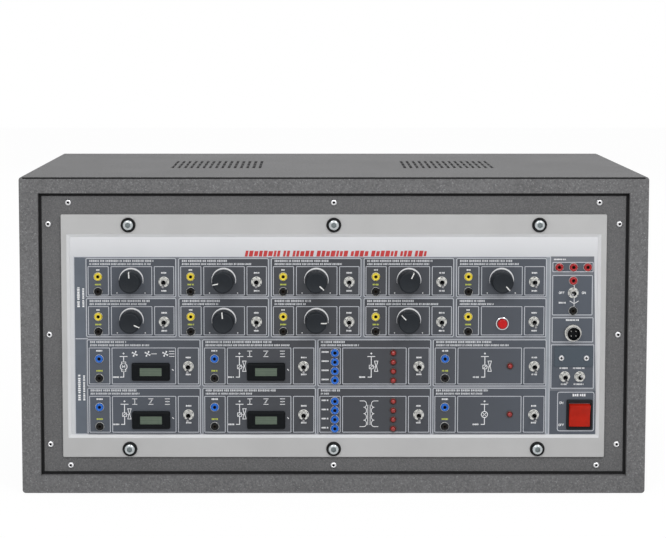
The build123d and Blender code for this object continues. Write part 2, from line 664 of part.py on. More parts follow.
black_sockets = socket_group(black_places)
black_sockets.label = "black_sockets"
export_step(black_sockets, "parts/black_sockets.step")

red_sockets = socket_group(red_places)
red_sockets.label = "red_sockets"
export_step(red_sockets, "parts/red_sockets.step")

# Toggle bodies: a box behind the panel and a bored bushing through it
with BuildPart() as toggle_bodies:
    with BuildSketch(panel_plane(PANEL_BACK)):
        with Locations(*toggle_centres):
            Rectangle(TOGGLE_BODY_WIDTH, TOGGLE_BODY_HEIGHT)
    extrude(amount=-TOGGLE_BODY_DEPTH)
    with BuildSketch(panel_plane(PANEL_BACK)):
        with Locations(*toggle_centres):
            RegularPolygon(TOGGLE_BUSHING / 2, TOGGLE_SIDES, major_radius=False)
    extrude(amount=TOGGLE_BUSHING_LENGTH)
    with BuildSketch(panel_plane(TOGGLE_MOUTH)):
        with Locations(*toggle_centres):
            RegularPolygon(TOGGLE_BORE / 2, TOGGLE_SIDES, major_radius=False)
    extrude(amount=-LEVER_PIVOT - TRUNNION / 2 - TRUNNION_CLEARANCE, mode=Mode.SUBTRACT)

toggle_bodies.part.label = "toggle_bodies"
export_step(toggle_bodies.part, "parts/toggle_bodies.step")

# Toggle nuts: one hexagon nut on each bushing
with BuildPart() as toggle_nuts:
    with BuildSketch(panel_plane(PANEL_FRONT)):
        with Locations(*toggle_centres):
            RegularPolygon(TOGGLE_NUT / 2, TOGGLE_SIDES, major_radius=False)
            RegularPolygon(
                (TOGGLE_BUSHING + TOGGLE_NUT_CLEARANCE) / 2,
                TOGGLE_SIDES,
                major_radius=False,
                mode=Mode.SUBTRACT,
            )
    extrude(amount=TOGGLE_NUT_HEIGHT)

toggle_nuts.part.label = "toggle_nuts"
export_step(toggle_nuts.part, "parts/toggle_nuts.step")

# Toggle levers: a tapered bat on a cross trunnion, leaning to its rest side
lean = Vector(1, 0, 0).rotate(Axis.Z, TOGGLE_TILT)
lever_length = LEVER_PIVOT + LEVER_REACH
trunnion_length = TOGGLE_BORE - 2 * TRUNNION_CLEARANCE
for number, ((x, z), (right, up)) in enumerate(toggle_places, start=1):
    pivot = Vector(x, FRONT_Y + TOGGLE_MOUTH + LEVER_PIVOT, PANEL_Z + z)
    ahead = Vector(right * lean.Y, -lean.X, up * lean.Y)
    across = Vector(abs(up), 0, abs(right))
    bat_plane = Plane(origin=pivot, x_dir=across, z_dir=ahead)
    pin_plane = Plane(origin=pivot - across * (trunnion_length / 2), x_dir=ahead, z_dir=across)
    with BuildPart() as toggle_lever:
        with BuildSketch(bat_plane):
            RegularPolygon(LEVER_ROOT / 2, TOGGLE_SIDES)
        with BuildSketch(bat_plane.offset(lever_length)):
            RegularPolygon(LEVER_TIP / 2, TOGGLE_SIDES)
        loft(ruled=True)
        with BuildSketch(pin_plane):
            Rectangle(TRUNNION, TRUNNION)
        extrude(amount=trunnion_length)
    toggle_lever.part.label = f"toggle_lever_{number}"
    export_step(toggle_lever.part, f"parts/toggle_lever_{number}.step")

# Potentiometers: bodies behind the panel with bored bushings in it
with BuildPart() as potentiometers:
    with BuildSketch(panel_plane(PANEL_BACK)):
        with Locations(*knob_places):
            Rectangle(POT_BODY, POT_BODY)
    extrude(amount=-POT_BODY_DEPTH)
    with BuildSketch(panel_plane(PANEL_BACK)):
        with Locations(*knob_places):
            RegularPolygon(POT_BUSHING / 2, SPINDLE_SIDES)
    extrude(amount=PANEL_THICKNESS)
    with BuildSketch(panel_plane(PANEL_FRONT)):
        with Locations(*knob_places):
            RegularPolygon((SPINDLE + SPINDLE_FLOAT) / 2, SPINDLE_SIDES, major_radius=False)
    extrude(amount=-PANEL_THICKNESS - SPINDLE_FOOT - SPINDLE_FLOAT, mode=Mode.SUBTRACT)

potentiometers.part.label = "potentiometers"
export_step(potentiometers.part, "parts/potentiometers.step")

# Knobs: each is a cap with a pointer groove, and the spindle in its bore that it turns
knob_front = PANEL_FRONT - KNOB_LIFT - KNOB_HEIGHT
knob_back = PANEL_FRONT - KNOB_LIFT
spindle_top = knob_front + SPINDLE_TOP
for number, ((x, z), mark) in enumerate(zip(knob_places, KNOB_MARKS), start=1):
    with BuildPart() as knob:
        with BuildSketch(facing(knob_back, x, PANEL_Z + z)):
            RegularPolygon(KNOB_DIAMETER / 2, KNOB_SIDES, rotation=-mark)
        extrude(amount=KNOB_HEIGHT)
        with BuildSketch(facing(knob_front, x, PANEL_Z + z)):
            with PolarLocations(KNOB_DIAMETER / 2 - KNOB_MARK_LENGTH / 2, 1, start_angle=90 - mark):
                Rectangle(KNOB_MARK_LENGTH, KNOB_MARK_WIDTH)
        extrude(amount=-KNOB_MARK_DEPTH, mode=Mode.SUBTRACT)
        with BuildSketch(facing(spindle_top - SPINDLE_FIT, x, PANEL_Z + z)):
            RegularPolygon(SPINDLE / 2 + SPINDLE_FIT, SPINDLE_SIDES)
        extrude(amount=-KNOB_HEIGHT, mode=Mode.SUBTRACT)
        with BuildSketch(facing(spindle_top, x, PANEL_Z + z)):
            RegularPolygon(SPINDLE / 2, SPINDLE_SIDES)
        extrude(amount=spindle_top - PANEL_BACK - SPINDLE_FOOT)
    knob.part.label = f"knob_{number}"
    export_step(knob.part, f"parts/knob_{number}.step")

# Push button: a red cap that slides in a chrome ring
with BuildPart() as push_button:
    with BuildSketch(panel_plane(PANEL_FRONT - BUTTON_PROUD)):
        with Locations(button_place):
            RegularPolygon(BUTTON_CAP / 2, BUTTON_SIDES)
    extrude(amount=-BUTTON_PROUD - BUTTON_STEM)
    chamfer(push_button.faces().sort_by(Axis.Y)[0].edges(), BUTTON_CAP_BEVEL)

push_button.part.label = "push_button"
export_step(push_button.part, "parts/push_button.step")

with BuildPart() as button_bezel:
    with BuildSketch(panel_plane(PANEL_FRONT)):
        with Locations(button_place):
            RegularPolygon(BUTTON_RING / 2, BUTTON_SIDES)
    extrude(amount=BUTTON_RING_HEIGHT)
    with BuildSketch(panel_plane(PANEL_FRONT)):
        with Locations(button_place):
            RegularPolygon(BUTTON_BARREL / 2, BUTTON_SIDES)
    extrude(amount=-PANEL_THICKNESS - BUTTON_BARREL_DEPTH)
    with BuildSketch(panel_plane(PANEL_FRONT - BUTTON_RING_HEIGHT)):
        with Locations(button_place):
            RegularPolygon(BUTTON_CAP / 2 + BUTTON_GAP, BUTTON_SIDES)
    extrude(
        amount=-BUTTON_RING_HEIGHT - BUTTON_STEM - BUTTON_TRAVEL - BUTTON_GAP, mode=Mode.SUBTRACT
    )

button_bezel.part.label = "button_bezel"
export_step(button_bezel.part, "parts/button_bezel.step")

# Meters: black bezels with a body behind the panel, and their glasses
with BuildPart() as meter_bezels:
    with BuildSketch(panel_plane(PANEL_FRONT)):
        with Locations(*meter_places):
            Rectangle(METER_WIDTH, METER_HEIGHT)
    extrude(amount=METER_PROUD)
    chamfer(meter_bezels.faces().filter_by(Axis.Y).group_by(Axis.Y)[0].edges(), METER_BEVEL)
    with BuildSketch(panel_plane(PANEL_FRONT)):
        with Locations(*meter_places):
            Rectangle(METER_WIDTH - 2 * METER_BODY_INSET, METER_HEIGHT - 2 * METER_BODY_INSET)
    extrude(amount=-PANEL_THICKNESS - METER_BODY_DEPTH)
    with BuildSketch(panel_plane(PANEL_FRONT - METER_PROUD)):
        with Locations(*meter_places):
            Rectangle(METER_WINDOW_WIDTH, METER_WINDOW_HEIGHT)
    extrude(amount=-METER_GLASS_RECESS - METER_GLASS, mode=Mode.SUBTRACT)

meter_bezels.part.label = "meter_bezels"
export_step(meter_bezels.part, "parts/meter_bezels.step")

with BuildPart() as meter_glasses:
    with BuildSketch(panel_plane(PANEL_FRONT - METER_PROUD + METER_GLASS_RECESS)):
        with Locations(*meter_places):
            Rectangle(METER_WINDOW_WIDTH, METER_WINDOW_HEIGHT)
    extrude(amount=-METER_GLASS)

meter_glasses.part.label = "meter_glasses"
export_step(meter_glasses.part, "parts/meter_glasses.step")

# Indicator lamps: bevelled lenses through the panel, each in a black ring
with BuildPart() as led_lenses:
    with BuildSketch(panel_plane(PANEL_BACK + LED_FOOT)):
        with Locations(*led_places):
            RegularPolygon(LED_LENS / 2, LED_SIDES, major_radius=False, rotation=180 / LED_SIDES)
    extrude(amount=LED_FOOT + PANEL_THICKNESS + LED_PROUD)
    chamfer(led_lenses.faces().filter_by(Axis.Y).group_by(Axis.Y)[0].edges(), LED_DOME)

led_lenses.part.label = "led_lenses"
export_step(led_lenses.part, "parts/led_lenses.step")

with BuildPart() as led_rings:
    with BuildSketch(panel_plane(PANEL_FRONT)):
        with Locations(*led_places):
            RegularPolygon(LED_RING / 2, LED_SIDES, major_radius=False, rotation=180 / LED_SIDES)
            RegularPolygon(
                (LED_LENS + LED_CLEARANCE) / 2,
                LED_SIDES,
                major_radius=False,
                rotation=180 / LED_SIDES,
                mode=Mode.SUBTRACT,
            )
    extrude(amount=LED_RING_HEIGHT)

led_rings.part.label = "led_rings"
export_step(led_rings.part, "parts/led_rings.step")

# Round connector: a metal shell with a collar, and a black insert that carries the pins
with BuildPart() as connector_shell:
    with BuildSketch(panel_plane(PANEL_FRONT)):
        with Locations((SUPPLY_X, SUPPLY_CONNECTOR_Z)):
            RegularPolygon(CONNECTOR_COLLAR / 2, CONNECTOR_SIDES)
    extrude(amount=CONNECTOR_COLLAR_HEIGHT)
    with BuildSketch(panel_plane(PANEL_FRONT - CONNECTOR_PROUD)):
        with Locations((SUPPLY_X, SUPPLY_CONNECTOR_Z)):
            RegularPolygon(CONNECTOR_BARREL / 2, CONNECTOR_SIDES)
    extrude(amount=-CONNECTOR_PROUD - PANEL_THICKNESS - CONNECTOR_BACK)
    with BuildSketch(panel_plane(PANEL_FRONT - CONNECTOR_PROUD)):
        with Locations((SUPPLY_X, SUPPLY_CONNECTOR_Z)):
            RegularPolygon(CONNECTOR_BORE / 2, CONNECTOR_SIDES)
    extrude(
        amount=CONNECTOR_END - CONNECTOR_PROUD - PANEL_THICKNESS - CONNECTOR_BACK,
        mode=Mode.SUBTRACT,
    )

connector_shell.part.label = "connector_shell"
export_step(connector_shell.part, "parts/connector_shell.step")

insert_front = PANEL_FRONT - CONNECTOR_PROUD + CONNECTOR_CAVITY
insert_back = PANEL_BACK + CONNECTOR_BACK - CONNECTOR_END
with BuildPart() as connector_insert:
    with BuildSketch(panel_plane(insert_front)):
        with Locations((SUPPLY_X, SUPPLY_CONNECTOR_Z)):
            RegularPolygon(CONNECTOR_BORE / 2 - CONNECTOR_CLEARANCE, CONNECTOR_SIDES)
    extrude(amount=insert_front - insert_back)
    with BuildSketch(panel_plane(insert_front)):
        with Locations((SUPPLY_X, SUPPLY_CONNECTOR_Z)):
            with PolarLocations(CONNECTOR_PIN_CIRCLE, CONNECTOR_PINS):
                RegularPolygon(CONNECTOR_PIN / 2, SHANK_SIDES)
    extrude(amount=CONNECTOR_PIN_LENGTH)

connector_insert.part.label = "connector_insert"
export_step(connector_insert.part, "parts/connector_insert.step")

# Cover plate: closes an unused cut-out in the supply column
with BuildPart() as cover_plate:
    with BuildSketch(panel_plane(PANEL_FRONT)):
        with Locations((COVER_X, COVER_Z)):
            Rectangle(COVER_WIDTH, COVER_HEIGHT)
        with Locations(*cover_screws):
            Rectangle(SMALL_HOLE, SMALL_HOLE, mode=Mode.SUBTRACT)
    extrude(amount=COVER_THICKNESS)

cover_plate.part.label = "cover_plate"
export_step(cover_plate.part, "parts/cover_plate.step")

# Rocker housing: a bevelled bezel on the panel and a hollow box behind it
opening_width = ROCKER_WIDTH + 2 * ROCKER_SIDE_GAP
opening_height = ROCKER_HEIGHT + 2 * ROCKER_END_GAP
pin_reach = ROCKER_WIDTH / 2 + ROCKER_PIN_LENGTH + ROCKER_SIDE_GAP
rocker_origin = Vector(ROCKER_X, FRONT_Y + ROCKER_AXIS, PANEL_Z + ROCKER_Z)
with BuildPart() as rocker_housing:
    with BuildSketch(panel_plane(PANEL_FRONT)):
        with Locations((ROCKER_X, ROCKER_Z)):
            Rectangle(BEZEL_WIDTH, BEZEL_HEIGHT)
    extrude(amount=BEZEL_PROUD)
    chamfer(rocker_housing.faces().sort_by(Axis.Y)[0].edges(), BEZEL_BEVEL)
    with BuildSketch(panel_plane(PANEL_FRONT)):
        with Locations((ROCKER_X, ROCKER_Z)):
            Rectangle(HOUSING_WIDTH, HOUSING_HEIGHT)
    extrude(amount=-PANEL_THICKNESS - HOUSING_DEPTH)
    with BuildSketch(panel_plane(PANEL_FRONT - BEZEL_PROUD)):
        with Locations((ROCKER_X, ROCKER_Z)):
            Rectangle(opening_width, opening_height)
    extrude(amount=-BEZEL_PROUD - ROCKER_CAVITY, mode=Mode.SUBTRACT)
    with BuildSketch(Plane(origin=rocker_origin, x_dir=(0, 1, 0), z_dir=(1, 0, 0))):
        RegularPolygon((ROCKER_PIN + ROCKER_PIN_CLEARANCE) / 2, ROCKER_PIN_SIDES, major_radius=False)
    extrude(amount=pin_reach, both=True, mode=Mode.SUBTRACT)

rocker_housing.part.label = "rocker_housing"
export_step(rocker_housing.part, "parts/rocker_housing.step")

# Power rocker: a red paddle with a shallow valley, at rest with its top half raised
rocker_half = ROCKER_HEIGHT / 2
rocker_ahead = Vector(0, -1, 0).rotate(Axis.X, ROCKER_TILT)
valley_rise = -rocker_half * rocker_ahead.Z
rocker_plane = Plane(origin=rocker_origin, x_dir=rocker_ahead, z_dir=(-1, 0, 0))
with BuildPart() as power_rocker:
    with BuildSketch(rocker_plane):
        with BuildLine():
            Polyline(
                (-ROCKER_BACK, -rocker_half),
                (-ROCKER_BACK, rocker_half),
                (ROCKER_VALLEY + valley_rise, rocker_half),
                (ROCKER_VALLEY, 0),
                (ROCKER_VALLEY + valley_rise, -rocker_half),
                close=True,
            )
        make_face()
    extrude(amount=ROCKER_WIDTH / 2, both=True)
    with BuildSketch(rocker_plane):
        RegularPolygon(ROCKER_PIN / 2, ROCKER_PIN_SIDES)
    extrude(amount=ROCKER_WIDTH / 2 + ROCKER_PIN_LENGTH, both=True)

power_rocker.part.label = "power_rocker"
export_step(power_rocker.part, "parts/power_rocker.step")

# Mains inlet: a flanged socket body in the rear panel with three blades in its cavity
inlet_back = CASE_DEPTH + INLET_FLANGE
with BuildPart() as mains_inlet:
    with BuildSketch(facing(inlet_back, INLET_X, INLET_Z)) as flange_outline:
        Rectangle(INLET_FLANGE_WIDTH, INLET_FLANGE_HEIGHT)
        chamfer(flange_outline.vertices(), INLET_FLANGE_CORNER)
        with GridLocations(INLET_SCREW_SPACING, 0, 2, 1):
            Rectangle(SMALL_HOLE, SMALL_HOLE, mode=Mode.SUBTRACT)
    extrude(amount=INLET_FLANGE)
    with BuildSketch(facing(CASE_DEPTH, INLET_X, INLET_Z)) as body_outline:
        Rectangle(INLET_BODY_WIDTH, INLET_BODY_HEIGHT)
        chamfer(body_outline.vertices().group_by(Axis.Z)[-1], INLET_BODY_CORNER)
    extrude(amount=INLET_BODY_DEPTH)
    with BuildSketch(facing(inlet_back, INLET_X, INLET_Z)) as cavity_outline:
        Rectangle(INLET_CAVITY_WIDTH, INLET_CAVITY_HEIGHT)
        chamfer(cavity_outline.vertices().group_by(Axis.Z)[-1], INLET_CAVITY_CORNER)
    extrude(amount=INLET_CAVITY_DEPTH, mode=Mode.SUBTRACT)
    with BuildSketch(facing(inlet_back - INLET_CAVITY_DEPTH, INLET_X, INLET_Z)):
        with Locations(
            (-BLADE_SPREAD, -BLADE_OFFSET), (0, BLADE_OFFSET), (BLADE_SPREAD, -BLADE_OFFSET)
        ):
            Rectangle(BLADE_WIDTH, BLADE_HEIGHT)
    extrude(amount=-BLADE_LENGTH)

mains_inlet.part.label = "mains_inlet"
export_step(mains_inlet.part, "parts/mains_inlet.step")

# Circuit board: hangs on spacers behind the control panel
with BuildPart() as circuit_board:
    with BuildSketch(panel_plane(BOARD_FRONT)):
        with Locations((BOARD_X, 0)):
            Rectangle(BOARD_WIDTH, BOARD_HEIGHT)
        with Locations(*spacer_places):
            Rectangle(SMALL_HOLE, SMALL_HOLE, mode=Mode.SUBTRACT)
    extrude(amount=-BOARD_THICKNESS)

circuit_board.part.label = "circuit_board"
export_step(circuit_board.part, "parts/circuit_board.step")

# Power supply: an enclosed box on the floor of the case, with a terminal step and two tabs
supply_middle = FRONT_Y + SUPPLY_BOX_DEPTH
terminal_middle = SUPPLY_BOX_X + SUPPLY_BOX_WIDTH / 2 - SUPPLY_BOX_TERMINAL / 2
with BuildPart() as power_supply:
    with BuildSketch(Plane.XY.offset(SHEET)):
        with Locations((SUPPLY_BOX_X, supply_middle)):
            Rectangle(SUPPLY_BOX_WIDTH, SUPPLY_BOX_LENGTH)
    extrude(amount=SUPPLY_BOX_HEIGHT)
    with BuildSketch(Plane.XY.offset(SHEET + SUPPLY_BOX_HEIGHT / 2)):
        with Locations((terminal_middle, supply_middle)):
            Rectangle(SUPPLY_BOX_TERMINAL, SUPPLY_BOX_LENGTH)
    extrude(amount=SUPPLY_BOX_HEIGHT / 2, mode=Mode.SUBTRACT)
    with BuildSketch(Plane.XY.offset(SHEET)):
        with Locations(*tab_screws):
            Rectangle(SUPPLY_BOX_TAB, SUPPLY_BOX_TAB)
            Rectangle(SMALL_HOLE, SMALL_HOLE, mode=Mode.SUBTRACT)
    extrude(amount=SUPPLY_BOX_TAB_THICKNESS)

power_supply.part.label = "power_supply"
export_step(power_supply.part, "parts/power_supply.step")

# M3 fasteners: cover and inlet screws, board spacers with their screws, and supply screws
with BuildPart() as m3_fasteners:
    with BuildSketch(panel_plane(PANEL_FRONT - COVER_THICKNESS)):
        with Locations(*cover_screws):
            RegularPolygon(SMALL_HEAD / 2, SMALL_HEAD_SIDES)
    extrude(amount=SMALL_HEAD_HEIGHT)
    with BuildSketch(panel_plane(PANEL_FRONT - COVER_THICKNESS)):
        with Locations(*cover_screws):
            RegularPolygon(SMALL_THREAD / 2, SHANK_SIDES)
    extrude(amount=-SMALL_LENGTH)
    with BuildSketch(facing(inlet_back, INLET_X, INLET_Z)):
        with GridLocations(INLET_SCREW_SPACING, 0, 2, 1):
            RegularPolygon(SMALL_HEAD / 2, SMALL_HEAD_SIDES)
    extrude(amount=-SMALL_HEAD_HEIGHT)
    with BuildSketch(facing(inlet_back, INLET_X, INLET_Z)):
        with GridLocations(INLET_SCREW_SPACING, 0, 2, 1):
            RegularPolygon(SMALL_THREAD / 2, SHANK_SIDES)
    extrude(amount=SMALL_LENGTH)
    with BuildSketch(panel_plane(PANEL_BACK)):
        with Locations(*spacer_places):
            RegularPolygon(SPACER_ACROSS / 2, 6, major_radius=False)
    extrude(amount=-SPACER_LENGTH)
    with BuildSketch(panel_plane(BOARD_FRONT)):
        with Locations(*spacer_places):
            RegularPolygon(SMALL_THREAD / 2, SHANK_SIDES)
    extrude(amount=-BOARD_THICKNESS)
    with BuildSketch(panel_plane(BOARD_FRONT + BOARD_THICKNESS)):
        with Locations(*spacer_places):
            RegularPolygon(SMALL_HEAD / 2, SMALL_HEAD_SIDES)
    extrude(amount=-SMALL_HEAD_HEIGHT)
    with BuildSketch(Plane.XY.offset(SHEET + SUPPLY_BOX_TAB_THICKNESS)):
        with Locations(*tab_screws):
            RegularPolygon(SMALL_HEAD / 2, SMALL_HEAD_SIDES)
    extrude(amount=SMALL_HEAD_HEIGHT)
    with BuildSketch(Plane.XY.offset(SHEET + SUPPLY_BOX_TAB_THICKNESS)):
        with Locations(*tab_screws):
            RegularPolygon(SMALL_THREAD / 2, SHANK_SIDES)
    extrude(amount=-TAB_SCREW_LENGTH)

m3_fasteners.part.label = "m3_fasteners"
export_step(m3_fasteners.part, "parts/m3_fasteners.step")
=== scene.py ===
"""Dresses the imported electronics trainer: fittings, printed panel, finishes, light and camera."""

from math import cos, pi, radians, sin

import bmesh
import bpy
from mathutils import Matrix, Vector


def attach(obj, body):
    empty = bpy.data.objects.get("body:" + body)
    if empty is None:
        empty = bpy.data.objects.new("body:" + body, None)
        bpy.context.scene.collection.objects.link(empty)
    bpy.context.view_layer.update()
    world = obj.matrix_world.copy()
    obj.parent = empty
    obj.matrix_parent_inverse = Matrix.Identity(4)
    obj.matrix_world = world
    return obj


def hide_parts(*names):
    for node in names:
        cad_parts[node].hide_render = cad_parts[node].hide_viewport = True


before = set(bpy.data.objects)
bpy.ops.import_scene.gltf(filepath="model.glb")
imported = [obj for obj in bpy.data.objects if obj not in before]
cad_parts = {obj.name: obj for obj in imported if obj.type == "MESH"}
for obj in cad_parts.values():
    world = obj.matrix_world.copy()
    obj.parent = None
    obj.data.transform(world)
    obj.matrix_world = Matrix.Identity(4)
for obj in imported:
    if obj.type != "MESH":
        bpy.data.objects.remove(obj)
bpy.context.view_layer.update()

bl_info = {
    "name": "Electronics trainer",
    "version": (1, 0, 0),
    "blender": (4, 5, 0),
    "location": "3D View > Sidebar > Trainer",
    "description": "Builds the fittings, printed panel, finishes and studio of an electronics trainer",
    "category": "Object",
}

MM = 0.001

# Studio: places in metres, power in watts, angles in degrees
CAMERA = (-0.0242, -1.893, 0.4719)
TILT = 4.6
SHIFT = (0.0353, -0.158)
LENS = 95.2
LIGHTS = [
    ("top light", 4.9, (2.6, 1.6), (0.0, -0.2, 2.4)),
    ("front light", 9.0, (2.4, 1.6), (0.3, -3.2, 1.5)),
    ("left light", 11.0, (0.45, 0.35), (-0.9, -2.2, 1.9)),
    ("right light", 15.0, (0.45, 0.35), (1.2, -2.2, 1.9)),
    ("rear light", 7.0, (2.4, 1.6), (0.4, 3.2, 1.6)),
]
LIGHT_TARGET = (0.0, 0.0, 0.15)
AMBIENT = 0.5
FLOOR_SHARE = 0.9
FLOOR_GLOW = 1.043
FLOOR_REACH = 6.0

# The printed face: how far back it lies and how high its middle is, in millimetres
PANEL_Y = -150.0
PANEL_Z = 158.8
FRAME_PROUD = 3.0
REAR_PROUD = 305.0
WINDOW_RISE = 1.55
LID_RISE = 158.9

# Sensor modules: five columns and two rows round their knobs
SENSORS = [(-202.5 + 92.45 * column, 51.6 - 40.3 * row) for row in range(2) for column in range(5)]
SENSOR_SOCKET_X = -32.85
SENSOR_YELLOW_Z = 8.2
SENSOR_BLACK_Z = -6.8
SENSOR_TOGGLE = (32.95, 3.0)

# Actuator modules: four columns and two rows
ACTUATORS = [(-190.2 + 115.5 * column, -27.4 - 49.1 * row) for row in range(2) for column in range(4)]
STACKS = [ACTUATORS[2], ACTUATORS[6]]
SINGLES = [place for place in ACTUATORS if place not in STACKS]
ACTUATOR_SOCKET_X = -44.7
ACTUATOR_BLUE_Z = 4.25
ACTUATOR_BLACK_Z = -15.4
STACK_STEPS = [10.3 - 9.3 * step for step in range(4)]
STACK_SOCKET_X = -39.6
STACK_LAMP_X = 18.9
ACTUATOR_TOGGLE = (44.6, -3.4)
METER_MODULES = [ACTUATORS[0], ACTUATORS[1], ACTUATORS[4], ACTUATORS[5]]
METERS = [(x + 7.0, z - 8.8) for x, z in METER_MODULES]

# Supply column
SUPPLY_X = 239.2
COVER = (240.4, -20.8)
ROCKER = (246.8, -79.8)
CONNECTOR = (SUPPLY_X, 3.3)
BUTTON = (SENSORS[9][0] + 1.2, SENSORS[9][1] + 1.4)
INLET = (225.0, 46.0 - PANEL_Z)

DOWN, UP, LEFT = (0, -1), (0, 1), (-1, 0)
TOGGLES = [((x + SENSOR_TOGGLE[0], z + SENSOR_TOGGLE[1]), DOWN) for x, z in SENSORS]
TOGGLES += [((x + ACTUATOR_TOGGLE[0], z + ACTUATOR_TOGGLE[1]), DOWN) for x, z in ACTUATORS]
TOGGLES += [((SUPPLY_X, 43.6), LEFT), ((SUPPLY_X - 7.5, -41.2), DOWN), ((SUPPLY_X + 7.5, -41.2), UP)]
KNOBS = [(x, z + 4.2) for x, z in SENSORS[:-1]]
KNOB_MARKS = [-3, -101, 133, 24, 138, 114, -5, 90, -44]

YELLOW_SOCKETS = [(x + SENSOR_SOCKET_X, z + SENSOR_YELLOW_Z) for x, z in SENSORS]
BLUE_SOCKETS = [(x + ACTUATOR_SOCKET_X, z + ACTUATOR_BLUE_Z) for x, z in SINGLES]
BLUE_SOCKETS += [(x + STACK_SOCKET_X, z + step) for x, z in STACKS for step in STACK_STEPS]
BLACK_SOCKETS = [(x + SENSOR_SOCKET_X, z + SENSOR_BLACK_Z) for x, z in SENSORS]
BLACK_SOCKETS += [(x + ACTUATOR_SOCKET_X, z + ACTUATOR_BLACK_Z) for x, z in SINGLES]
BLACK_SOCKETS += [(SUPPLY_X, 25.4)]
RED_SOCKETS = [(SUPPLY_X + 14.2 * side, 69.3) for side in (-1, 0, 1)] + [(SUPPLY_X, 55.8)]
SOCKETS = {"yellow": YELLOW_SOCKETS, "blue": BLUE_SOCKETS, "black": BLACK_SOCKETS, "red": RED_SOCKETS}
LAMPS = [(x + STACK_LAMP_X, z + step) for x, z in STACKS for step in STACK_STEPS]
LAMPS += [(x + 20.4, z - 2.9) for x, z in (ACTUATORS[3], ACTUATORS[7])]
BOLTS = [(204.5 * side, rise) for side in (-1, 0, 1) for rise in (112.0, -114.2)]

# Points of a round outline, steps of a rounded corner, the bar of a cross recess in millimetres,
# and the angles in degrees from which an edge is sharp or gets a bevel
ROUND_SIDES = 24
CORNER_STEPS = 3
CROSS_BAR = 0.9
CREASE = 35
PRINT_CREASE = 20


def place(x, z, proud):
    """A place in the row frame, from millimetres right, up and forward of the panel's middle."""
    return Vector((x, PANEL_Y - proud, PANEL_Z + z)) * MM


def tone(red, green, blue):
    """A colour as painters read it, 0 to 255, in the linear values that shaders use."""
    shares = [value / 255 for value in (red, green, blue)]
    linear = [share / 12.92 if share <= 0.04045 else ((share + 0.055) / 1.055) ** 2.4 for share in shares]
    return (*linear, 1.0)


def circle(x, z, radius, sides=ROUND_SIDES):
    """Outline of a circle."""
    angles = [2 * pi * step / sides for step in range(sides)]
    return [(x + radius * cos(angle), z + radius * sin(angle)) for angle in angles]


def hexagon(x, z, across):
    """Outline of a hexagon with points along its flats, so that it joins to a circle's outline."""
    points = []
    for step in range(ROUND_SIDES):
        angle = 2 * pi * step / ROUND_SIDES
        radius = across / 2 / cos((angle + pi / 6) % (pi / 3) - pi / 6)
        points.append((x + radius * cos(angle), z + radius * sin(angle)))
    return points


def cross(x, z, across):
    """Outline of a cross recess."""
    points = []
    half, bar = across / 2, CROSS_BAR / 2
    for step in range(ROUND_SIDES):
        angle = 2 * pi * step / ROUND_SIDES + pi / ROUND_SIDES
        reach, rise = abs(cos(angle)), abs(sin(angle))
        radius = max(min(half / reach, bar / rise), min(half / rise, bar / reach))
        points.append((x + radius * cos(angle), z + radius * sin(angle)))
    return points


def rounded(x, z, width, height, radius):
    """Outline of a rectangle with rounded corners; the radius is one number, or top and bottom."""
    points = []
    top, bottom = radius if isinstance(radius, tuple) else (radius, radius)
    signs = ((1, 1, top), (-1, 1, top), (-1, -1, bottom), (1, -1, bottom))
    for quarter, (right, up, reach) in enumerate(signs):
        corner = (x + right * (width / 2 - reach), z + up * (height / 2 - reach))
        for step in range(CORNER_STEPS + 1):
            angle = pi / 2 * (quarter + step / CORNER_STEPS)
            points.append((corner[0] + reach * cos(angle), corner[1] + reach * sin(angle)))
    return points


def outlines(kind, x, z, sections, base=0.0):
    """Outlines of one kind round one place. A section gives their sizes and how far forward they stand."""
    return [(kind(x, z, *sizes), base + proud) for *sizes, proud in sections]


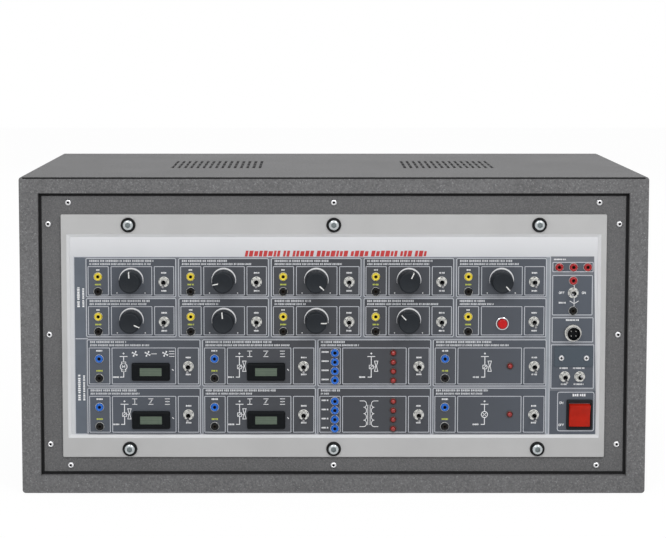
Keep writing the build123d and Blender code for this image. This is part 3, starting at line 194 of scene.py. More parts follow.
class Shape:
    """A mesh made of closed solids. Places are millimetres right, up and forward on the panel."""

    def __init__(self):
        self.mesh = bmesh.new()

    def skin(self, rows, ring=False, finish=0):
        """One solid over rows of points. A ring joins its last row to its first."""
        rows = [[self.mesh.verts.new(place(*point)) for point in row] for row in rows]
        bands = list(zip(rows, rows[1:] + ([rows[0]] if ring else [])))
        finishes = finish if isinstance(finish, (list, tuple)) else [finish] * len(bands)
        for (lower, upper), number in zip(bands, finishes):
            for side in range(len(lower)):
                after = (side + 1) % len(lower)
                face = self.mesh.faces.new((lower[side], lower[after], upper[after], upper[side]))
                face.material_index = number
        if not ring:
            self.mesh.faces.new(rows[0][::-1]).material_index = finishes[0]
            self.mesh.faces.new(rows[-1]).material_index = finishes[-1]

    def loft(self, *sections, ring=False, finish=0):
        """One solid over outlines, each given with how far it stands forward."""
        rows = [[(x, z, proud) for x, z in outline] for outline, proud in sections]
        self.skin(rows, ring, finish)

    def plate(self, outline, low, high, finish=0):
        """A flat solid with one outline."""
        self.loft((outline, low), (outline, high), finish=finish)

    def border(self, outer, inner, low, high, finish=0):
        """A flat ring between two outlines."""
        self.loft((outer, low), (outer, high), (inner, high), (inner, low), ring=True, finish=finish)

    def turned(self, base, profile, sides=ROUND_SIDES, ahead=(0, 0, 1), ring=False, finish=0):
        """A solid turned round an axis. The profile gives radius and distance along the axis."""
        base, ahead = Vector(base), Vector(ahead).normalized()
        side = Vector((1, 0, 0)) if abs(ahead.x) < 0.5 else Vector((0, 1, 0))
        side = (side - ahead * side.dot(ahead)).normalized()
        other = ahead.cross(side)
        angles = [2 * pi * step / sides for step in range(sides)]
        spokes = [side * cos(angle) + other * sin(angle) for angle in angles]
        rows = [[base + ahead * along + spoke * radius for spoke in spokes] for radius, along in profile]
        self.skin(rows, ring, finish)

    def stroke(self, points, width, low, high, closed=False):
        """A printed line through points. The width is one number or one for each point."""
        points = [Vector(point) for point in points]
        widths = width if isinstance(width, (list, tuple)) else [width] * len(points)
        rows = []
        for number, point in enumerate(points):
            before = points[number - 1] if number or closed else None
            after = points[(number + 1) % len(points)] if closed or number + 1 < len(points) else None
            ways = [(b - a).normalized() for a, b in ((before, point), (point, after)) if a and b]
            way = sum(ways, Vector((0, 0))).normalized()
            side = Vector((-way.y, way.x))
            reach = widths[number] / 2 / max(side.dot(Vector((-ways[0].y, ways[0].x))), 0.4)
            left, right = point + side * reach, point - side * reach
            rows.append([(*left, low), (*left, high), (*right, high), (*right, low)])
        self.skin(rows, closed)

    def build(self, name, finishes, slot, body="console", replaces=(), crease=CREASE):
        """Closes the mesh, makes its object, sets what it rides on, and hides the solids that it replaces."""
        bmesh.ops.recalc_face_normals(self.mesh, faces=self.mesh.faces)
        data = bpy.data.meshes.new(name)
        self.mesh.to_mesh(data)
        self.mesh.free()
        data.shade_smooth()
        data.set_sharp_from_angle(angle=radians(crease))
        for finish in finishes:
            data.materials.append(finish_of(finish))
        piece = bpy.data.objects.new(name, data)
        bpy.context.collection.objects.link(piece)
        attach(piece, body)
        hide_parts(*replaces)
        return piece


class Term:
    """A number that varies over a surface. Arithmetic on it adds Math nodes."""

    def __init__(self, recipe, socket):
        self.recipe, self.socket = recipe, socket

    def math(self, operation, first, second):
        return self.recipe.node("ShaderNodeMath", {"operation": operation}, {0: first, 1: second})

    def __add__(self, other):
        return self.math("ADD", self, other)

    def __sub__(self, other):
        return self.math("SUBTRACT", self, other)

    def __rsub__(self, other):
        return self.math("SUBTRACT", other, self)

    def __mul__(self, other):
        return self.math("MULTIPLY", self, other)

    def most(self, other):
        return self.math("MAXIMUM", self, other)

    __radd__ = __add__
    __rmul__ = __mul__


class Nodes:
    """A node tree while it is made."""

    def __init__(self, tree):
        self.tree = tree

    def feed(self, socket, value):
        if isinstance(value, Term):
            self.tree.links.new(value.socket, socket)
        else:
            socket.default_value = value

    def node(self, kind, settings=(), inputs=(), output=0):
        """Any node, from its type, its settings, and the values or links of its sockets."""
        node = self.tree.nodes.new(kind)
        for setting, value in dict(settings).items():
            setattr(node, setting, value)
        for socket, value in dict(inputs).items():
            self.feed(node.inputs[socket], value)
        return Term(self, node.outputs[output])

    def seen(self):
        """1 for camera, glossy and transmission rays, and 0 for others."""
        rays = ("Camera", "Glossy", "Transmission")
        camera, glossy, through = [self.node("ShaderNodeLightPath", output=f"Is {ray} Ray") for ray in rays]
        return camera.most(glossy).most(through)

    def close(self, output, share, first, second):
        """Ends the tree with a mix of two shaders."""
        mixed = self.node("ShaderNodeMixShader", {}, {0: share, 1: first, 2: second})
        self.feed(self.tree.nodes[output].inputs["Surface"], mixed)


class Recipe(Nodes):
    """One material while it is made. Keyword values are set on the shader's own sockets."""

    def __init__(self, name, **values):
        self.material = bpy.data.materials.new(name)
        self.material.use_nodes = True
        super().__init__(self.material.node_tree)
        self.shader = self.tree.nodes["Principled BSDF"]
        for socket, value in values.items():
            self.shader.inputs[socket.replace("_", " ")].default_value = value
        self.spot = self.node("ShaderNodeTexCoord", output="Object")

    def noise(self, size, detail=2.0, stretch=(1, 1, 1)):
        """Noise with spots of about this size in millimetres, stretched along the axes."""
        spot = self.node(
            "ShaderNodeVectorMath",
            {"operation": "MULTIPLY"},
            {0: self.spot, 1: tuple(1 / (size * MM * part) for part in stretch)},
        )
        return self.node("ShaderNodeTexNoise", {}, {"Vector": spot, "Scale": 1.0, "Detail": detail})

    def ramp(self, value, low, high):
        """0 below low, 1 above high, and a straight rise between them."""
        inputs = {"Value": value, "From Min": low, "From Max": high}
        return self.node("ShaderNodeMapRange", {"clamp": True}, inputs)

    def blend(self, share, first, second):
        """A colour between two colours."""
        return self.node("ShaderNodeMix", {"data_type": "RGBA"}, {0: share, 6: first, 7: second}, output=2)

    def part(self, axis):
        """One coordinate of the place on the piece, in millimetres."""
        return self.node("ShaderNodeSeparateXYZ", {}, {0: self.spot}, output=axis) * (1 / MM)

    def relief(self, height, depth, strength):
        """Bumps of this depth in millimetres."""
        inputs = {"Height": height, "Distance": depth * MM, "Strength": strength}
        bump = self.node("ShaderNodeBump", {}, inputs)
        self.feed(self.shader.inputs["Normal"], bump)

    def finish(self, colour, roughness=None):
        self.feed(self.shader.inputs["Base Color"], colour)
        if roughness is not None:
            self.feed(self.shader.inputs["Roughness"], roughness)
        return self.material


def shaded(colour, factor):
    """The same colour, lighter or darker."""
    return (*(min(part * factor, 1.0) for part in colour[:3]), 1.0)


def painted(colour_name):
    """The user's colour of this name."""
    return tuple(getattr(bpy.context.scene.trainer_colours, colour_name))


def powder_coat(name, colour, contrast=0.26, grain=1.9):
    """Textured powder coat: fine specks, bright specks painted as highlights, small bumps and a slow change
    of tone.
    """
    recipe = Recipe(name, Specular_IOR_Level=0.22)
    grains = recipe.noise(grain, 2.0)
    specks = recipe.ramp(grains, 0.34, 0.7)
    # Painted highlights: specks of twice the colour stand in for glints of light on the coat
    painted_glints = recipe.ramp(recipe.noise(grain * 0.7, 1.0), 0.6, 0.78)
    clouds = recipe.ramp(recipe.noise(70.0, 2.0), 0.3, 0.7)
    share = specks * 0.75 + clouds * 0.25
    recipe.relief(grains, 0.35, 0.6)
    paint = recipe.blend(share, shaded(colour, 1 - contrast), shaded(colour, 1 + contrast))
    return recipe.finish(recipe.blend(painted_glints * 0.8, paint, shaded(colour, 2.0)), 0.62 + specks * 0.12)


def satin_paint(name, colour, contrast=0.035):
    """Smooth satin paint with a slow change of tone and faint rubbing."""
    recipe = Recipe(name, Specular_IOR_Level=0.4)
    clouds = recipe.ramp(recipe.noise(45.0, 3.0), 0.3, 0.7)
    rubbing = recipe.ramp(recipe.noise(2.5, 4.0, (6, 1, 1)), 0.45, 0.75)
    recipe.relief(recipe.noise(0.7), 0.02, 0.35)
    paint = recipe.blend(clouds, shaded(colour, 1 - contrast), shaded(colour, 1 + contrast))
    return recipe.finish(paint, 0.38 + rubbing * 0.1)


def ink(name, colour, contrast=0.06):
    """Screen ink: even, a little mottled, with the weave of the screen in its surface."""
    recipe = Recipe(name, Specular_IOR_Level=0.3)
    mottle = recipe.ramp(recipe.noise(14.0, 3.0), 0.3, 0.7)
    weave = recipe.noise(0.35, 1.0)
    recipe.relief(weave, 0.02, 0.3)
    paint = recipe.blend(mottle, shaded(colour, 1 - contrast), shaded(colour, 1 + contrast))
    return recipe.finish(paint, 0.42 + weave * 0.12)


def moulded(name, colour, roughness, contrast, gloss):
    """Moulded plastic with a fine grain and slightly uneven gloss."""
    recipe = Recipe(name, Specular_IOR_Level=gloss)
    flow = recipe.ramp(recipe.noise(6.0, 3.0), 0.3, 0.7)
    grain = recipe.noise(0.25, 1.0)
    recipe.relief(grain, 0.02, 0.35)
    plastic = recipe.blend(flow, shaded(colour, 1 - contrast), shaded(colour, 1 + contrast))
    return recipe.finish(plastic, roughness + grain * 0.1)


def metal(name, colour, roughness, lines=(1, 1, 8)):
    """Plated or brushed metal with fine lines and a little tarnish."""
    recipe = Recipe(name, Metallic=1.0)
    brushing = recipe.noise(0.4, 2.0, lines)
    tarnish = recipe.ramp(recipe.noise(3.0, 3.0), 0.4, 0.8)
    recipe.relief(brushing, 0.015, 0.3)
    plating = recipe.blend(tarnish, colour, shaded(colour, 0.82))
    return recipe.finish(plating, roughness + tarnish * 0.12)


def header_coat():
    """Silver header: pale satin foil with fine level brushing, a little darker at its foot."""
    recipe = Recipe("header_silver", Metallic=0.15, Specular_IOR_Level=0.4)
    brushing = recipe.noise(0.5, 2.0, (30, 1, 1))
    fall = recipe.ramp(recipe.part("Z"), 238.0, 257.0)
    recipe.relief(brushing, 0.01, 0.25)
    share = fall * 0.8 + brushing * 0.2
    foil = recipe.blend(share, tone(208, 210, 213), tone(228, 229, 232))
    return recipe.finish(foil, 0.34 + brushing * 0.1)


def field_ink():
    """Dark print of the modules: bluer towards both ends of the panel and neutral at the middle."""
    recipe = Recipe("field_ink", Specular_IOR_Level=0.35)
    reach = recipe.part("X")
    left = 1 - recipe.ramp(reach, -255.0, -60.0)
    right = recipe.ramp(reach, 60.0, 250.0)
    mottle = recipe.noise(18.0, 3.0)
    recipe.relief(recipe.noise(0.35, 1.0), 0.02, 0.3)
    ends = (left + right) * 0.9 + mottle * 0.1
    print_colour = recipe.blend(ends, painted("field_middle"), painted("field_ends"))
    return recipe.finish(print_colour, 0.4 + mottle * 0.1)


def lamp_lens():
    """Red lens with a darker chip seen through it."""
    recipe = Recipe("lamp_red", Coat_Weight=0.3, Coat_Roughness=0.05)
    body = recipe.ramp(recipe.noise(1.6, 2.0), 0.3, 0.7)
    recipe.relief(recipe.noise(0.5, 1.0), 0.02, 0.3)
    return recipe.finish(recipe.blend(body, tone(124, 14, 10), tone(178, 30, 22)), 0.2 + body * 0.1)


def meter_screen():
    """Liquid crystal screen at rest: grey green with the faint rows of its segments."""
    recipe = Recipe("meter_screen", Specular_IOR_Level=0.35)
    rows = recipe.node(
        "ShaderNodeTexWave",
        {"wave_type": "BANDS", "bands_direction": "Z"},
        {"Vector": recipe.spot, "Scale": 120.0, "Distortion": 0.6, "Detail": 1.0},
    )
    clouds = recipe.noise(5.0, 2.0)
    share = rows * 0.35 + clouds * 0.65
    recipe.relief(clouds, 0.02, 0.2)
    return recipe.finish(recipe.blend(share, tone(78, 92, 80), tone(100, 114, 98)), 0.2 + clouds * 0.1)


# How each plain finish is made: its maker, its colour and what differs from the maker's usual values.
# A colour is the name of one of the user's colours, or red, green and blue as painters read them
PLAIN_FINISHES = {
    "case_paint": (powder_coat, "case"),
    "subframe_paint": (powder_coat, "subframe", 0.2, 1.6),
    "plate_paint": (satin_paint, "plate"),
    # The bevel has the frame's paint made much paler: a painted highlight where the bevel catches the light
    "plate_bevel": (satin_paint, (226, 227, 229), 0.02),
    "cover_paint": (satin_paint, (69, 79, 89), 0.05),
    "board_green": (satin_paint, (40, 92, 58), 0.12),
    "band_ink": (ink, (114, 118, 125)),
    "side_ink": (ink, (99, 106, 116)),
    "divider_ink": (ink, (150, 156, 163)),
    "line_ink": (ink, (198, 201, 208), 0.04),
    "word_ink": (ink, (240, 241, 243), 0.02),
    "caption_ink": (ink, (204, 206, 210), 0.04),
    "signal_ink": (ink, (196, 205, 84)),
    "title_ink": (ink, (196, 62, 62)),
    "pointer_white": (ink, (236, 236, 234), 0.02),
    "yellow_plastic": (moulded, (236, 212, 60), 0.2, 0.06, 0.45),
    "blue_plastic": (moulded, (18, 104, 204), 0.2, 0.06, 0.45),
    "black_plastic": (moulded, (17, 18, 20), 0.32, 0.1, 0.2),
    "red_plastic": (moulded, (172, 24, 30), 0.2, 0.06, 0.45),
    # Near-black for bores and recesses: painted shade inside the holes
    "dark_hole": (moulded, (9, 10, 12), 0.7, 0.08, 0.1),
    # Near-black for the gap round the subframe and the groove under the lid: painted shade
    "seal_black": (moulded, (34, 34, 35), 0.7, 0.1, 0.15),
    "knob_black": (moulded, (26, 31, 37), 0.45, 0.1, 0.25),
    "bezel_black": (moulded, (13, 16, 19), 0.34, 0.1, 0.1),
    "rocker_black": (moulded, (17, 17, 21), 0.34, 0.1, 0.2),
    "rocker_red": (moulded, (184, 34, 16), 0.3, 0.07, 0.15),
    "button_red": (moulded, (196, 16, 20), 0.22, 0.06, 0.25),
    # The contact's metal is darkened: its own colour with painted shade deep in the socket
    "socket_contact": (metal, (50, 44, 36), 0.5),
    "nickel": (metal, (219, 219, 215), 0.25),
    "chrome": (metal, (206, 207, 210), 0.16),
    "bolt_chrome": (metal, (188, 193, 195), 0.22, (1, 1, 1)),
    # The hex socket's steel is darker than the head's: painted shade in the recess
    "bolt_socket": (metal, (120, 128, 130), 0.35, (1, 1, 1)),
    "lever_steel": (metal, (158, 158, 160), 0.22, (1, 1, 1)),
    "steel": (metal, (222, 222, 224), 0.26),
    "lamp_ring": (metal, (112, 92, 88), 0.35),
    "connector_metal": (metal, (212, 211, 207), 0.22),
    "supply_metal": (metal, (160, 164, 166), 0.4, (8, 1, 1)),
}
OWN_FINISHES = {
    "header_silver": header_coat, "field_ink": field_ink, "meter_screen": meter_screen, "lamp_red": lamp_lens
}
FINISHES = {}


def finish_of(name):
    """The finish of this name, made the first time that it is asked for."""
    if name not in FINISHES:
        if name in OWN_FINISHES:
            FINISHES[name] = OWN_FINISHES[name]()
        else:
            maker, colour, *values = PLAIN_FINISHES[name]
            colour = painted(colour) if isinstance(colour, str) else tone(*colour)
            FINISHES[name] = maker(name, colour, *values)
    return FINISHES[name]


def coat_node(node, finish, edge=0.0):
    """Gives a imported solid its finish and, where it has an edge, small rounded edges."""
    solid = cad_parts[node]
    solid.data.materials.clear()
    solid.data.materials.append(finish_of(finish))
    if edge:
        weld = solid.modifiers.new("Join", "WELD")
        weld.merge_threshold = 0.01 * MM
        bevel = solid.modifiers.new("Edges", "BEVEL")
        bevel.width = edge * MM
        bevel.segments = 2
        bevel.limit_method = "ANGLE"
        bevel.angle_limit = radians(CREASE)


class TrainerSizes(bpy.types.PropertyGroup):
    """Sizes that a user would change."""

    edge: bpy.props.FloatProperty(
        name="Case edge", description="Width of the case's small edges, in millimetres", default=0.5,
        min=0.0, max=1.0,
    )
    line: bpy.props.FloatProperty(
        name="Printed line", description="Width of the printed frames, in millimetres", default=0.8,
        min=0.3, max=2.0,
    )


def colour_property(name, description, default):
    return bpy.props.FloatVectorProperty(
        name=name, description=description, default=default, size=4, subtype="COLOR", min=0.0, max=1.0
    )


class TrainerColours(bpy.types.PropertyGroup):
    """Colours that a user would change."""

    case: colour_property("Case", "Powder coat of the case", tone(113, 113, 114))
    subframe: colour_property("Subframe", "Paint of the sheet behind the frame", tone(106, 106, 107))
    plate: colour_property("Frame", "Paint of the light frame", tone(191, 191, 191))
    field_middle: colour_property("Print, middle", "Dark print at mid panel", tone(65, 67, 72))
    field_ends: colour_property("Print, ends", "Dark print at both ends", tone(85, 91, 101))


class TRAINER_OT_case(bpy.types.Operator):
    """Coat the case, its rear panel and the subframe"""

    bl_idname = "trainer.case"
    bl_label = "Case"

    def execute(self, context):
        edge = context.scene.trainer_sizes.edge
        coat_node("case_shell", "case_paint", edge)
        coat_node("rear_panel", "case_paint", edge)
        coat_node("front_subframe", "subframe_paint", edge / 2)
        coat_node("control_panel", "header_silver")
        return {"FINISHED"}


# Sections give width, height, corner radius and how far forward. The light frame's run from its outline
# over the front and down the bevel to the window
FRAME_SECTIONS = [
    (543.2, 245.0, 1.2, 0.0), (543.2, 245.0, 1.2, FRAME_PROUD - 0.4), (542.4, 244.2, 1.2, FRAME_PROUD),
    (532.2, 205.8, 0.8, FRAME_PROUD), (526.6, 200.2, 0.6, 0.6), (526.6, 200.2, 0.6, 0.0),
]
# A black ring in the gap round the subframe and a dark strip along the lid's edge: painted shade of the gap
# and of the groove under the lid
GAP_SHADE_OUTLINES, GAP_SHADE_BACK, GAP_SHADE_FRONT = ((587.6, 284.5, 0.4), (581.8, 278.7, 0.4)), -1.98, -0.4
SEAM_SHADE_SECTIONS = [(617.6, 1.5, 0.3, 4.9), (617.6, 1.5, 0.3, 5.06), (617.2, 1.1, 0.2, 5.14)]


class TRAINER_OT_plate(bpy.types.Operator):
    """Build the light frame with its bevel, painted paler than the frame as a painted highlight"""

    bl_idname = "trainer.plate"
    bl_label = "Light frame"

    def execute(self, context):
        frame_plate = Shape()
        frame_plate.loft(*outlines(rounded, 0, 0, FRAME_SECTIONS), ring=True, finish=[0, 0, 0, 1, 1, 0])
        frame_plate.build(
            "light_frame", ["plate_paint", "plate_bevel"], "frame_paint", replaces=["panel_frame"],
            crease=PRINT_CREASE,
        )
        return {"FINISHED"}


class TRAINER_OT_seams(bpy.types.Operator):
    """Build a black ring in the gap round the subframe and a dark strip under the lid's edge: painted shade
    in the gap and in the groove
    """

    bl_idname = "trainer.seams"
    bl_label = "Seal and seam"

    def execute(self, context):
        gap_shade = Shape()
        outer, inner = [rounded(0, WINDOW_RISE, *outline) for outline in GAP_SHADE_OUTLINES]
        gap_shade.border(outer, inner, GAP_SHADE_BACK, GAP_SHADE_FRONT)
        gap_shade.build("subframe_seal", ["seal_black"], "cup_plastic")
        seam_shade = Shape()
        seam_shade.loft(*outlines(rounded, 0, LID_RISE, SEAM_SHADE_SECTIONS))
        seam_shade.build("lid_seam", ["seal_black"], "case_paint")
        return {"FINISHED"}


# Profiles give radius and distance forward, and hexagons their width and distance forward
CUP_PROFILE = [
    (7.5, 0.0), (7.45, 0.5), (6.9, 1.9), (6.55, 2.4), (6.2, 2.6), (5.95, 2.45), (5.8, 0.8), (3.3, 0.8),
    (3.3, 0.0),
]
BOLT_PROFILE = [
    (3.0, -10.0), (3.0, 0.8), (5.45, 0.8), (5.45, 1.9), (5.2, 2.7), (4.6, 3.3), (3.6, 3.7), (2.7, 3.8),
]
BOLT_SOCKET = [(5.0, 3.8), (5.0, 3.5), (5.0, 2.0)]


class TRAINER_OT_bolts(bpy.types.Operator):
    """Build the panel bolts in their black cups"""

    bl_idname = "trainer.bolts"
    bl_label = "Panel bolts"

    def execute(self, context):
        cups, bolts = Shape(), Shape()
        for x, z in BOLTS:
            cups.turned((x, z, FRAME_PROUD), CUP_PROFILE, 32, ring=True)
            head = outlines(circle, x, z, BOLT_PROFILE, FRAME_PROUD)
            # The walls and floor of the hex socket take the darker steel: painted shade in the recess
            bolts.loft(*head, *outlines(hexagon, x, z, BOLT_SOCKET, FRAME_PROUD), finish=[0] * 9 + [1])
        cups.build("bolt_cups", ["black_plastic"], "cup_plastic", replaces=["cup_washers"])
        bolts.build("hex_bolts", ["bolt_chrome", "bolt_socket"], "bolt_steel", replaces=["panel_bolts"])
        return {"FINISHED"}


# Screws: diameter and height of the head, width of the recess, diameter and length of the shank
CASE_SCREW = (7.0, 2.2, 2.5, 4.0, 8.0)
SMALL_SCREW = (6.0, 2.0, 3.4, 3.0)
HEAD_STEPS, RECESS_SHARE, RECESS_DEPTHS = 5, 0.62, (0.15, 1.2)
SUBFRAME_SCREWS = [(x, z) for z in (-132.8, 132.8) for x in (-264.2, 0.0, 264.2)]
SUBFRAME_SCREWS += [(x, z) for x in (-284.4, 284.4) for z in (-111.3, 0.0, 111.3)]
REAR_SCREWS = [(x, z) for z in (-150.0, 150.0) for x in (-250.0, 250.0)]
REAR_RISE = 0.7


def button_screw(shape, x, z, proud, way=1, sizes=CASE_SCREW, recess=hexagon):
    """A round-head screw with a recess; way is 1 facing forward and -1 facing back."""
    diameter, height, drive, shank, length = sizes
    rim = drive * RECESS_SHARE
    sections = [(circle(x, z, shank / 2), proud - way * length), (circle(x, z, shank / 2), proud)]
    for step in range(HEAD_STEPS + 1):
        angle = pi / 2 * step / HEAD_STEPS
        radius = rim + (diameter / 2 - rim) * cos(angle)
        sections.append((circle(x, z, radius), proud + way * height * sin(angle)))
    # The recess ends in near-black: painted shade inside it
    for depth in RECESS_DEPTHS:
        sections.append((recess(x, z, drive), proud + way * (height - depth)))
    shape.loft(*sections, finish=[0] * (len(sections) - 2) + [1])


class TRAINER_OT_screws(bpy.types.Operator):
    """Build the case screws"""

    bl_idname = "trainer.screws"
    bl_label = "Screws"

    def execute(self, context):
        screws = Shape()
        for x, z in SUBFRAME_SCREWS:
            button_screw(screws, x, z + WINDOW_RISE, 0.0)
        for x, z in REAR_SCREWS:
            button_screw(screws, x, z + REAR_RISE, -REAR_PROUD, -1)
        screws.build("button_screws", ["steel", "dark_hole"], "screw_steel", replaces=["case_screws"])
        return {"FINISHED"}


# The head of a socket ends in its contact and its bore, and stands in a bright ring. The contact is darkened
# and the bore is near-black: painted shade deep in the socket
SOCKET_PROFILE = [
    (3.85, 0.0), (3.85, 1.3), (3.75, 1.9), (3.45, 2.4), (3.0, 2.6), (2.5, 2.5), (2.0, 2.2), (1.65, 1.8),
    (1.6, 1.5), (1.2, 1.45), (1.2, 0.45),
]
SOCKET_RING = [(3.6, 0.0), (3.6, 0.3), (4.2, 0.6), (4.4, 0.45), (4.45, 0.0)]


class TRAINER_OT_sockets(bpy.types.Operator):
    """Build the test sockets with their contacts"""

    bl_idname = "trainer.sockets"
    bl_label = "Test sockets"

    def execute(self, context):
        for colour, places in SOCKETS.items():
            sockets = Shape()
            for x, z in places:
                sockets.turned((x, z, 0), SOCKET_PROFILE, finish=[0] * 8 + [1, 2])
                sockets.turned((x, z, 0), SOCKET_RING, ring=True, finish=3)
            sockets.build(
                f"{colour}_test_sockets", [f"{colour}_plastic", "socket_contact", "dark_hole", "nickel"],
                f"socket_{colour}", replaces=[f"{colour}_sockets"],
            )
        return {"FINISHED"}


# Small fasteners: how far the screws stand from the middle of what they hold, and where the spacers are
COVER_SCREW_REACH, COVER_SCREW_DROP = 12.5, 1.3
INLET_SCREW_REACH = 20.0
BOARD_X, SPACER_REACH, SPACER_RISE = -20.0, 225.0, 91.0
COVER_FACE, INLET_FACE, BOARD_BACK, BOARD_THREAD = 1.0, -REAR_PROUD - 3.0, -26.6, 1.6
SPACER_SECTIONS = [(4.9, -25.0), (5.5, -24.6), (5.5, -2.4), (4.9, -2.0)]
SUPPLY_BOX_X, SUPPLY_TAB_REACH, SUPPLY_TAB_HEIGHT, SUPPLY_BOX_BACK = -120.0, 85.0, 3.0, -220.0
TAB_SCREW = [(1.5, -2.5), (1.5, 0.0), (2.8, 0.0), (2.7, 0.9), (2.2, 1.6), (1.2, 2.0), (0.9, 1.2)]


def cross_screw(shape, x, z, proud, way=1, length=6.0):
    """An M3 pan-head screw with a cross recess."""
    button_screw(shape, x, z, proud, way, (*SMALL_SCREW, length), cross)


class TRAINER_OT_fasteners(bpy.types.Operator):
    """Build the M3 screws of the cover and inlet, and the board's spacers and screws"""

    bl_idname = "trainer.fasteners"
    bl_label = "Small fasteners"

    def execute(self, context):
        small = Shape()
        for side in (-1, 1):
            x = COVER[0] + side * COVER_SCREW_REACH
            cross_screw(small, x, COVER[1] - COVER_SCREW_DROP, COVER_FACE)
            cross_screw(small, INLET[0] + side * INLET_SCREW_REACH, INLET[1], INLET_FACE, -1)
            for rise in (-SPACER_RISE, SPACER_RISE):
                x = BOARD_X + side * SPACER_REACH
                small.loft(*outlines(hexagon, x, rise, SPACER_SECTIONS))
                cross_screw(small, x, rise, BOARD_BACK, -1, BOARD_THREAD)
            tab = (SUPPLY_BOX_X + side * SUPPLY_TAB_REACH, SUPPLY_TAB_HEIGHT - PANEL_Z, SUPPLY_BOX_BACK)
            # The recess of the tab screws is near-black: painted shade inside it
            small.turned(tab, TAB_SCREW, 20, (0, 1, 0), finish=[0] * 5 + [1])
        small.build("small_screws", ["steel", "dark_hole"], "fastener_zinc", replaces=["m3_fasteners"])
        return {"FINISHED"}


# Mains inlet, from its body over the flange into its cavity. Body and cavity have larger corners above
INLET_SECTIONS = [
    (27.4, 19.8, (4.0, 1.0), 20.0), (27.4, 19.8, (4.0, 1.0), 0.0), (50.0, 22.6, 4.0, 0.0),
    (50.0, 22.6, 4.0, -2.4), (48.8, 21.4, 3.4, -3.0), (25.2, 17.2, (3.6, 1.0), -3.0),
    (24.4, 16.4, (3.6, 1.0), -2.6), (24.4, 16.4, (3.6, 1.0), 14.0),
]
BLADE_SECTIONS = [(2.0, 4.0, 0.4, 14.2), (2.0, 4.0, 0.4, 0.8), (1.0, 3.0, 0.4, 0.0)]
BLADES = ((-7.0, -2.0), (0.0, 2.0), (7.0, -2.0))


class TRAINER_OT_inlet(bpy.types.Operator):
    """Build the mains inlet with its blades"""

    bl_idname = "trainer.inlet"
    bl_label = "Mains inlet"

    def execute(self, context):
        x, z = INLET
        inlet = Shape()
        inlet.loft(*outlines(rounded, x, z, INLET_SECTIONS, -REAR_PROUD))
        for reach, rise in BLADES:
            inlet.loft(*outlines(rounded, x + reach, z + rise, BLADE_SECTIONS, -REAR_PROUD), finish=1)
        inlet.build("appliance_inlet", ["bezel_black", "nickel"], "inlet_black", replaces=["mains_inlet"])
        return {"FINISHED"}


def ahead_of(way, tilt):
    """The direction of a lever that leans this way by tilt degrees."""
    lean = sin(radians(tilt))
    return Vector((way[0] * lean, way[1] * lean, cos(radians(tilt))))


# Toggle switches: body, solder tags, thread and mouth of the bushing, lock washer and nut, lever
TOGGLE_BODY = [
    (7.2, 12.2, 0.6, -12.0), (8.0, 13.0, 0.6, -11.6), (8.0, 13.0, 0.6, -2.4), (7.2, 12.2, 0.6, -2.0),
]
TAG, TAG_STEP, TAG_ENDS = (2.0, 0.8, 0.2), 4.2, (-15.0, -11.8)
THREAD_START, THREAD_PITCH, THREAD_TURNS = 0.4, 0.52, 10
THREAD_CREST, THREAD_ROOT = 2.95, 2.72
MOUTH_PROFILE = [(2.9, 5.7), (2.75, 6.0), (2.45, 6.0), (2.35, 5.6), (2.35, -1.4)]
WASHER_PROFILE = [(5.35, 0.0), (5.35, 0.3), (5.25, 0.4)]
NUT_FLATS = [(8.9, 0.4), (8.9, 1.1)]
NUT_PROFILE = [(4.25, 2.0), (3.15, 2.0), (3.05, 1.8), (3.05, 0.0)]
LEVER_PROFILE = [
    (0.5, -0.7), (0.9, -0.5), (1.05, 0.0), (0.95, 1.0), (0.85, 3.5), (0.95, 5.0), (1.2, 8.0), (1.42, 11.5),
    (1.5, 13.0), (1.42, 13.7), (1.15, 14.2), (0.7, 14.38),
]
LEVER_PIVOT, LEVER_TILT = 2.0, 12.0


class TRAINER_OT_toggles(bpy.types.Operator):
    """Build the toggle switches: bodies, threaded bushings, nuts and levers"""

    bl_idname = "trainer.toggles"
    bl_label = "Toggle switches"

    def execute(self, context):
        bodies, nuts = Shape(), Shape()
        thread = [(THREAD_CREST, -2.0)]
        for turn in range(THREAD_TURNS):
            along = THREAD_START + turn * THREAD_PITCH
            thread += [(THREAD_CREST, along), (THREAD_ROOT, along + THREAD_PITCH / 2)]
        for number, ((x, z), way) in enumerate(TOGGLES, start=1):
            bodies.loft(*outlines(rounded, x, z, TOGGLE_BODY))
            # The bore of the bushing is near-black: painted shade inside it
            bodies.turned((x, z, 0), thread + MOUTH_PROFILE, 20, finish=[1] * (len(thread) + 3) + [2])
            for step in (-1, 0, 1):
                bodies.plate(rounded(x, z + step * TAG_STEP, *TAG), *TAG_ENDS, finish=1)
            washer, flats, crown = [
                outlines(kind, x, z, sections)
                for kind, sections in ((circle, WASHER_PROFILE), (hexagon, NUT_FLATS), (circle, NUT_PROFILE))
            ]
            nuts.loft(*washer, *flats, *crown, ring=True)
            lever = Shape()
            lever.turned((x, z, LEVER_PIVOT), LEVER_PROFILE, 16, ahead_of(way, LEVER_TILT))
            lever.build(
                f"lever_bat_{number}", ["lever_steel"], "lever_chrome", f"lever_{number}",
                [f"toggle_lever_{number}"],
            )
        bodies.build(
            "toggle_switches", ["bezel_black", "nickel", "dark_hole"], "toggle_nickel",
            replaces=["toggle_bodies"],
        )
        nuts.build("toggle_hex_nuts", ["nickel"], "toggle_nickel", replaces=["toggle_nuts"])
        return {"FINISHED"}


